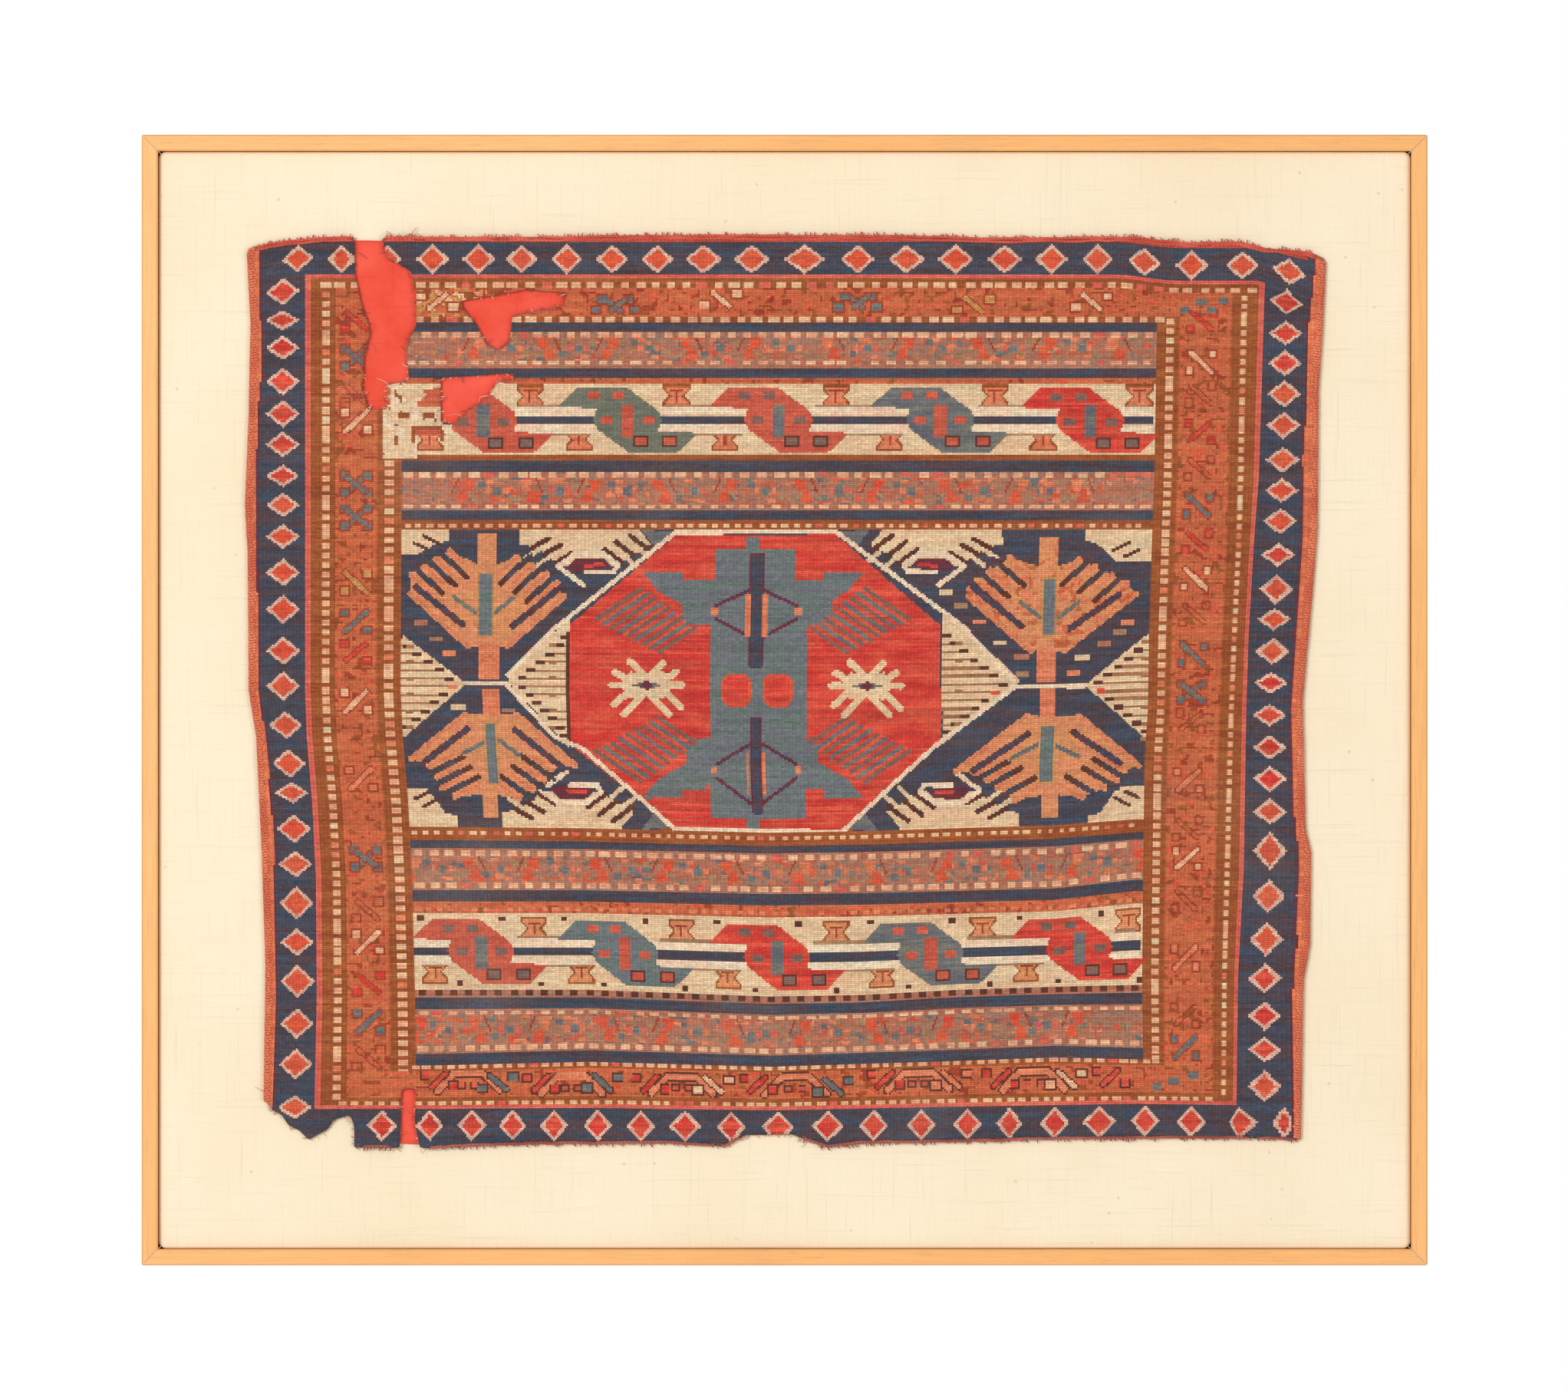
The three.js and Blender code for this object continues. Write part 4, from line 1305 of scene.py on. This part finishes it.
def make_ground_cloth(material):
    low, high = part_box("ground_cloth")
    box = (low[0], low[2], high[0], high[2])
    front, back = low[1], high[1]
    soft, swell = 1.2 * MM, 1.05 * MM
    outer = [
        (LINEN_TURN_IN, back), (0.5 * LINEN_TURN_IN, back), (soft, back), (0.3 * soft, back - 0.3 * soft),
        (0, back - soft), (0, (front + back) / 2), (-0.7 * swell, front + 4.5 * MM),
        (-swell, front + 3 * MM), (-swell, front + 1.6 * MM), (-0.6 * swell, front + 0.8 * MM),
        (0.2 * swell, front + 0.25 * MM), (soft, front),
    ]
    inner_insets = [8 * MM, 40 * MM, 100 * MM, 180 * MM, 280 * MM]
    outer += [(inset, front) for inset in inner_insets]
    inner = [(inset, front + LINEN_THICK) for inset in reversed(inner_insets)]
    inner += [(2 * LINEN_THICK, front + LINEN_THICK), (LINEN_THICK, front + 2 * LINEN_THICK)]
    inner += [(LINEN_THICK, back - 2 * LINEN_THICK), (2 * LINEN_THICK, back - LINEN_THICK)]
    inner += [(0.5 * LINEN_TURN_IN, back - LINEN_THICK), (LINEN_TURN_IN, back - LINEN_THICK)]
    points, rings = [], []
    for inset, depth in outer + inner:
        # The slot under the panel is narrower, so the cloth swells less there
        lowest = box[1] + 0.75 * max(0, -inset)
        radius = max(PANEL_CORNER - inset, 0.6 * MM)
        ring = rounded_ring((box[0], lowest, box[2], box[3]), inset, depth, radius)
        rings.append(range(len(points), len(points) + len(ring)))
        points += ring
    faces = []
    middle = len(outer) - 1
    for number in range(len(rings)):
        here, following = rings[number], rings[(number + 1) % len(rings)]
        if number == middle:
            faces.append(list(here))
            faces.append(list(reversed(following)))
            continue
        for k in range(len(here)):
            n = (k + 1) % len(here)
            faces.append([here[k], here[n], following[n], following[k]])
    piece = new_piece("linen_panel", points, faces, material)
    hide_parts("ground_cloth")
    return piece


GLUE_HALF = 0.07 * MM
# A strip's six sides, each as four of its eight points
STRIP_SIDES = ((0, 1, 3, 2), (4, 6, 7, 5), (0, 4, 5, 1), (2, 3, 7, 6), (0, 2, 6, 4), (1, 5, 7, 3))


def make_glue_lines(material):
    """The glue in the four mitres, a little back from the wood: a strip in the face and one in the ledge."""
    low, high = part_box("frame_bottom")[0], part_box("frame_top")[1]
    points, faces = [], []
    for side, edge_across in ((-1, low[0]), (1, high[0])):
        for end, edge_up in ((-1, low[2]), (1, high[2])):
            for outer, inner, front, back in ((0.6, 8.2, -27.5, -0.5), (8.4, 20, -4.6, -0.5)):
                first = len(points)
                for inset in (outer * MM, inner * MM):
                    for depth in (front * MM, back * MM):
                        for half in (-GLUE_HALF, GLUE_HALF):
                            across, up = edge_across - side * inset, edge_up - end * inset
                            points.append((across + half * end, depth, up - half * side))
                for ring in STRIP_SIDES:
                    faces.append([first + place for place in ring])
    return new_piece("mitre_glue", points, faces, material, smooth=False)


# Red cloth behind the holes
def make_patch(node, name, material, seed):
    low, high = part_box(node)
    columns, rows = round((high[0] - low[0]) / (2.5 * MM)), round((high[2] - low[2]) / (2.5 * MM))
    dice = np.random.default_rng(seed)
    fold = smooth_noise((rows + 1, columns + 1), 9, 16, dice)
    across, up = np.meshgrid(
        np.linspace(low[0], high[0], columns + 1), np.linspace(low[2], high[2], rows + 1)
    )
    waver = 0.5 * MM
    shrink = 1 - 2 * waver / (high[0] - low[0])
    middle_across, middle_up = (low[0] + high[0]) / 2, (low[2] + high[2]) / 2
    ragged = waver * (smooth_noise(across.shape, 3, 3, dice) - 0.5)
    across = middle_across + (across - middle_across) * shrink + ragged
    up = middle_up + (up - middle_up) * shrink + ragged
    front = low[1] + 0.35 * MM * (1 - fold)
    back = high[1] - 0.05 * MM
    count = across.size
    points = list(zip(across.ravel(), front.ravel(), up.ravel()))
    points += list(zip(across.ravel(), [back] * count, up.ravel()))
    number = np.arange(count).reshape(across.shape)
    faces = []
    for r in range(rows):
        for c in range(columns):
            ring = [number[r, c], number[r, c + 1], number[r + 1, c + 1], number[r + 1, c]]
            faces.append(ring)
            faces.append([count + place for place in reversed(ring)])
    edge = list(number[0, :-1]) + list(number[:-1, -1]) + list(number[-1, :0:-1]) + list(number[:0:-1, 0])
    for a, b in zip(edge, edge[1:] + edge[:1]):
        faces.append([b, a, count + a, count + b])
    piece = new_piece(name, points, faces, material)
    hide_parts(node)
    return piece


# Yarns as tubes: each a row of centre points with a radius, all of one kind joined in one piece
class YarnMesh:
    def __init__(self, sides=6):
        self.sides = sides
        self.points, self.faces, self.marks = [], [], []

    def add(self, path, radius, flat=1.0):
        """path is rows of x, y, z; flat presses the tube along Y."""
        path = np.asarray(path, dtype=float)
        run = np.gradient(path, axis=0)
        run /= np.linalg.norm(run, axis=1)[:, None] + 1e-12
        guide = np.array([0.0, 1.0, 0.0]) if abs(run[:, 1]).mean() < 0.8 else np.array([0.0, 0.0, 1.0])
        side = np.cross(run, guide)
        side /= np.linalg.norm(side, axis=1)[:, None] + 1e-12
        rise = np.cross(side, run)
        first = len(self.points)
        length = np.concatenate([[0], np.cumsum(np.linalg.norm(np.diff(path, axis=0), axis=1))])
        for k, centre in enumerate(path):
            thin = radius * (0.75 if k in (0, len(path) - 1) else 1.0)
            for s in range(self.sides):
                turn = 2 * np.pi * s / self.sides
                offset = thin * (np.cos(turn) * side[k] + np.sin(turn) * rise[k])
                offset[1] *= flat
                self.points.append(tuple(centre + offset))
        scale = 1 / (6 * radius)
        for k in range(len(path) - 1):
            for s in range(self.sides):
                n = (s + 1) % self.sides
                a, b = first + k * self.sides, first + (k + 1) * self.sides
                self.faces.append([a + s, a + n, b + n, b + s])
                u0, u1 = length[k] * scale, length[k + 1] * scale
                v0, v1 = s / self.sides, (s + 1) / self.sides
                self.marks += [(u0, v0), (u0, v1), (u1, v1), (u1, v0)]
        for ring, turned in ((first, True), (first + (len(path) - 1) * self.sides, False)):
            cap = [ring + s for s in range(self.sides)]
            self.faces.append(cap[::-1] if turned else cap)
            self.marks += [(0, 0)] * self.sides

    def finish(self, name, material):
        piece = new_piece(name, self.points, self.faces, material)
        layer = piece.data.uv_layers.new(name="along_yarn")
        layer.data.foreach_set("uv", np.array(self.marks, dtype=np.float32).ravel())
        return piece


def crossings(loops, axis, value):
    """Where the outlines cross a line of one height (axis 2) or one place across (axis 0), in order."""
    other = 2 - axis
    found = []
    for ring in loops:
        for start, end in zip(ring, np.roll(ring, -1, axis=0)):
            if (start[axis] > value) != (end[axis] > value):
                run = (end[other] - start[other]) * (value - start[axis]) / (end[axis] - start[axis])
                found.append(start[other] + run)
    return sorted(found)


WRAP_PITCH = 1.4 * MM
WRAP_RADIUS = 0.66 * MM
WRAP_REACH = 3.4 * MM


def make_overcasting(name, loops, tree, side, top, bottom, material):
    """Wrapped yarn over one side edge; side is -1 for the left and 1 for the right."""
    dice = np.random.default_rng(SEED + 5 + side)
    yarns = YarnMesh()
    height = FRAME_MIDDLE_UP + top
    while height > FRAME_MIDDLE_UP + bottom:
        height -= WRAP_PITCH * dice.uniform(0.92, 1.1)
        met = crossings(loops, 2, height)
        if not met:
            continue
        edge = met[0] if side < 0 else met[-1]
        reach = WRAP_REACH * dice.uniform(0.65, 1.25)
        front = met_depth(tree, edge - side * 1.5 * MM, height)
        if front is None:
            continue
        back = front + BAG_THICK
        lift = dice.uniform(-0.12, 0.12) * MM
        path = []
        for inward, depth, down in (
            (reach, front + 0.45 * MM, 0.9),
            (reach - 0.8 * MM, front - 0.28 * MM + lift, 0.7),
            (0.45 * reach, front - 0.42 * MM + lift, 0.4),
            (0.6 * MM, front - 0.05 * MM, 0.1),
            (-0.35 * MM, front + 0.55 * MM, -0.1),
            (-0.4 * MM, back - 1.0 * MM, -0.3),
            (0.9 * MM, back - 0.75 * MM, -0.5),
        ):
            path.append((edge - side * inward, depth, height + down * 0.5 * WRAP_PITCH))
        yarns.add(path, WRAP_RADIUS * dice.uniform(0.9, 1.08), 0.85)
    return yarns.finish(name, material)


# The top and bottom edges lie past these heights over and under the frame's centre
TOP_FROM, BOTTOM_FROM = 225 * MM, -215 * MM
EDGE_YARN_RADIUS = 0.72 * MM
EDGE_ROW_STEP = 1.35 * MM


def edge_height(loops, across, is_top):
    heights = crossings(loops, 0, across)
    height = max(heights, default=-1) if is_top else min(heights, default=1)
    over_centre = height - FRAME_MIDDLE_UP
    return height if (over_centre > TOP_FROM if is_top else over_centre < BOTTOM_FROM) else None


def make_edge_yarns(name, loops, tree, is_top, rows, gone, material):
    """Yarns that run along the top or bottom edge, with loose bits standing out of them."""
    dice = np.random.default_rng(SEED + (11 if is_top else 12))
    yarns = YarnMesh()
    inward = -1 if is_top else 1
    for row in range(rows):
        path, wander = [], 0
        for across in np.arange(-284 * MM, 287 * MM, 2.6 * MM):
            height = edge_height(loops, across, is_top)
            broken = height is None or any(low < across < high for low, high in gone)
            if not broken:
                wander = 0.7 * wander + 0.3 * dice.uniform(-1, 1) * 0.9 * MM
                place = height + inward * (0.55 * MM + EDGE_ROW_STEP * row) + wander
                front = met_depth(tree, across, height + inward * (1.2 * MM + EDGE_ROW_STEP * row))
                broken = front is None
            if broken or dice.random() < 0.012:
                if len(path) > 3:
                    yarns.add(path, EDGE_YARN_RADIUS, 0.85)
                path = []
                continue
            path.append((across, front + dice.uniform(-0.32, -0.08) * MM, place))
        if len(path) > 3:
            yarns.add(path, EDGE_YARN_RADIUS, 0.85)
    for across in np.arange(-283 * MM, 286 * MM, 1.9 * MM):
        across += dice.uniform(-1, 1) * MM
        if any(low < across < high for low, high in gone) or dice.random() < 0.25:
            continue
        height = edge_height(loops, across, is_top)
        front = None if height is None else met_depth(tree, across, height + inward * 1.5 * MM)
        if front is None:
            continue
        lean, long = dice.uniform(-1, 1) * 1.6 * MM, dice.uniform(0.5, 1.9) * MM
        path = []
        for part in (0, 0.5, 1):
            path.append((
                across + lean * part * part,
                front + (0.3 + 0.4 * part) * MM,
                height + inward * 1.6 * MM - inward * part * (1.6 * MM + long),
            ))
        yarns.add(path, dice.uniform(0.3, 0.5) * MM)
    return yarns.finish(name, material)


# Torn rims, from the frame's centre in millimetres: left, bottom, right, top, and the share of ivory ends
TORN = (
    (-234, 176, -194, 252, 0.1), (-234, 148, -190, 176, 0.6), (-176, 185, -114, 222, 0.1),
    (-187, 146, -142, 178, 0.45), (-208, -250, -192, -206, 0.1), (-292, -250, -229, -208, 0.05),
    (-34, -241, 20, -230, 0.05),
)
FRAY_STEP = 1.5 * MM
BARE_SHARE = 0.4
# How long the ends are in millimetres, and how many of them are
FRAY_LONG, FRAY_SHARES = (0.9, 1.6, 2.8, 5.0), (0.45, 0.35, 0.16, 0.04)


def make_frays(loops, materials):
    """Ends of warp and wool that stand out of the torn rims."""
    dice = np.random.default_rng(SEED + 20)
    bundles = {name: YarnMesh(5) for name in materials}
    for ring in loops:
        for start, end in zip(ring, np.roll(ring, -1, axis=0)):
            run = end - start
            length = max(np.hypot(run[0], run[2]), 1e-9)
            out = np.array([run[2], 0, -run[0]]) / length
            for share in np.arange(dice.uniform(0, 1), length / FRAY_STEP) * FRAY_STEP / length:
                point = start + share * run
                across, up = point[0] / MM, (point[2] - FRAME_MIDDLE_UP) / MM
                ivory = [box[4] for box in TORN if box[0] < across < box[2] and box[1] < up < box[3]]
                if not ivory or dice.random() < BARE_SHARE:
                    continue
                long = dice.choice(FRAY_LONG, p=FRAY_SHARES) * MM * dice.uniform(0.6, 1.3)
                sway = np.array([out[2], 0, -out[0]]) * dice.uniform(-1.1, 1.1)
                depth = point[1] + dice.uniform(0.5, 1.3) * MM
                path = []
                for part in (-0.5, 0.2, 0.6, 1.0):
                    at = point + out * long * part + sway * long * part * abs(part)
                    at[1] = depth + 0.15 * MM * part
                    path.append(at)
                rest = 1 - ivory[0]
                shares = (ivory[0], 0.55 * rest, 0.35 * rest, 0.1 * rest)
                kind = dice.choice(("ivory", "rust", "brown", "navy"), p=shares)
                bundles[kind].add(path, dice.uniform(0.10, 0.24) * MM)
    return [
        bundle.finish("frayed_" + name, materials[name])
        for name, bundle in bundles.items() if bundle.points
    ]


# Frame and board keep their solids and get their materials
def dress(node, material):
    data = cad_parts[node].data
    data.materials.clear()
    data.materials.append(material)


wood_across = wood_material("wood_across", False, (242, 179, 109), (237, 170, 97))
wood_upright = wood_material("wood_upright", True, (243, 181, 111), (238, 172, 99))
for node in ("frame_top", "frame_bottom"):
    dress(node, wood_across)
for node in ("frame_left", "frame_right"):
    dress(node, wood_upright)
dress("mount_board", board_material())
make_glue_lines(wood_material("mitre_glue", True, (206, 150, 92), (188, 130, 78)))

linen = plain_weave_material("linen", (245, 231, 204), (241, 224, 194), 0.62 * MM, (196, 184, 160), 0.12, 7)
linen_panel = make_ground_cloth(linen)

red_cloth = plain_weave_material(
    "red_cloth", (246, 98, 80), (228, 72, 50), 0.42 * MM, (206, 44, 34), 0.35, 26
)
make_patch("patch_upper", "red_patch_upper", red_cloth, SEED + 30)
make_patch("patch_lower", "red_patch_lower", red_cloth, SEED + 31)

chart = draw_chart()
light = as_light(dyed_colours(chart) / 255)
bag_face, loops, tree = make_bag_face(chart, light, wool_material())
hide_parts("bag_face")

edge_red = yarn_material("edge_yarn", (232, 130, 92), (214, 102, 72))
crimson = yarn_material("crimson_yarn", (198, 76, 60), (222, 98, 76))
maroon = yarn_material("maroon_yarn", (156, 74, 64), (178, 96, 80))
left_wraps = make_overcasting("overcast_left", loops, tree, -1, 243 * MM, -214 * MM, edge_red)
right_wraps = make_overcasting("overcast_right", loops, tree, 1, 236 * MM, -235 * MM, edge_red)
top_gone = ((-232 * MM, -215 * MM),)
bottom_gone = ((-300 * MM, -229 * MM), (-209 * MM, -192 * MM), (-24 * MM, 8 * MM))
top_yarns = make_edge_yarns("top_edge_yarns", loops, tree, True, 2, top_gone, crimson)
bottom_yarns = make_edge_yarns("bottom_edge_yarns", loops, tree, False, 1, bottom_gone, maroon)
fray_looks = {
    "ivory": yarn_material("ivory_yarn", (240, 222, 190), (226, 200, 164)),
    "rust": yarn_material("rust_yarn", (206, 108, 70), (188, 84, 56)),
    "brown": yarn_material("brown_yarn", (150, 98, 62), (120, 76, 50)),
    "navy": yarn_material("navy_yarn", (66, 72, 96), (70, 92, 100)),
}
frays = make_frays(loops, fray_looks)


# Camera, light and floor
def add_camera():
    """Straight in front, at the photograph's framing: 841.25 mm of the frame's plane across the picture."""
    distance, picture_width, sensor = 6.0, 841.25 * MM, 36.0
    camera = bpy.data.objects.new("camera", bpy.data.cameras.new("camera"))
    camera.data.sensor_width = sensor
    camera.data.lens = sensor * distance / picture_width
    camera.data.clip_end = 100
    camera.location = (-0.31 * MM, -28 * MM - distance, FRAME_MIDDLE_UP + 2.16 * MM)
    camera.rotation_euler = (np.pi / 2, 0, 0)
    bpy.context.scene.collection.objects.link(camera)
    bpy.context.scene.camera = camera


def add_area_light(name, place, size, power, colour):
    lamp = bpy.data.objects.new(name, bpy.data.lights.new(name, "AREA"))
    lamp.data.shape = "DISK"
    lamp.data.size, lamp.data.energy, lamp.data.color = size, power, colour
    lamp.location = place
    towards = Vector((0, 0, FRAME_MIDDLE_UP)) - Vector(place)
    lamp.rotation_euler = towards.to_track_quat("-Z", "Y").to_euler()
    bpy.context.scene.collection.objects.link(lamp)


def add_world():
    world = bpy.data.worlds.new("studio")
    bpy.context.scene.world = world
    world.use_nodes = True
    nodes, links = world.node_tree.nodes, world.node_tree.links
    nodes.clear()
    rays = nodes.new("ShaderNodeLightPath")
    seen, lighting = nodes.new("ShaderNodeBackground"), nodes.new("ShaderNodeBackground")
    seen.inputs[0].default_value, seen.inputs[1].default_value = (1, 1, 1, 1), 1.0
    lighting.inputs[0].default_value, lighting.inputs[1].default_value = (1.0, 0.99, 0.97, 1), 0.48
    mix, output = nodes.new("ShaderNodeMixShader"), nodes.new("ShaderNodeOutputWorld")
    links.new(rays.outputs["Is Camera Ray"], mix.inputs[0])
    links.new(lighting.outputs[0], mix.inputs[1])
    links.new(seen.outputs[0], mix.inputs[2])
    links.new(mix.outputs[0], output.inputs[0])


def add_floor():
    height, half_wide, front, back = -1.8, 2.2, -3.2, 0.35
    mesh = bpy.data.meshes.new("floor")
    corners = ((-half_wide, front), (half_wide, front), (half_wide, back), (-half_wide, back))
    mesh.from_pydata([(*corner, height) for corner in corners], [], [(0, 1, 2, 3)])
    floor = bpy.data.objects.new("floor", mesh)
    bpy.context.scene.collection.objects.link(floor)
    look = Shader("floor")
    cloud = look.noise(look.place(), 2.0, 3)
    colour = look.mix(look.spread(cloud, 0.3, 0.7), paint(232, 230, 226), paint(226, 224, 220))
    mesh.materials.append(look.finish(colour, 0.7))


add_camera()
add_world()
add_area_light("key", (-1.4, -3.0, 0.35), 1.3, 60, (1.0, 0.985, 0.96))
add_area_light("fill", (1.9, -2.8, -0.6), 1.6, 24, (0.97, 0.985, 1.0))
add_area_light("rear", (0.6, 2.4, 0.6), 1.5, 30, (1.0, 1.0, 1.0))
add_floor()
bpy.context.scene.view_settings.view_transform = "Standard"
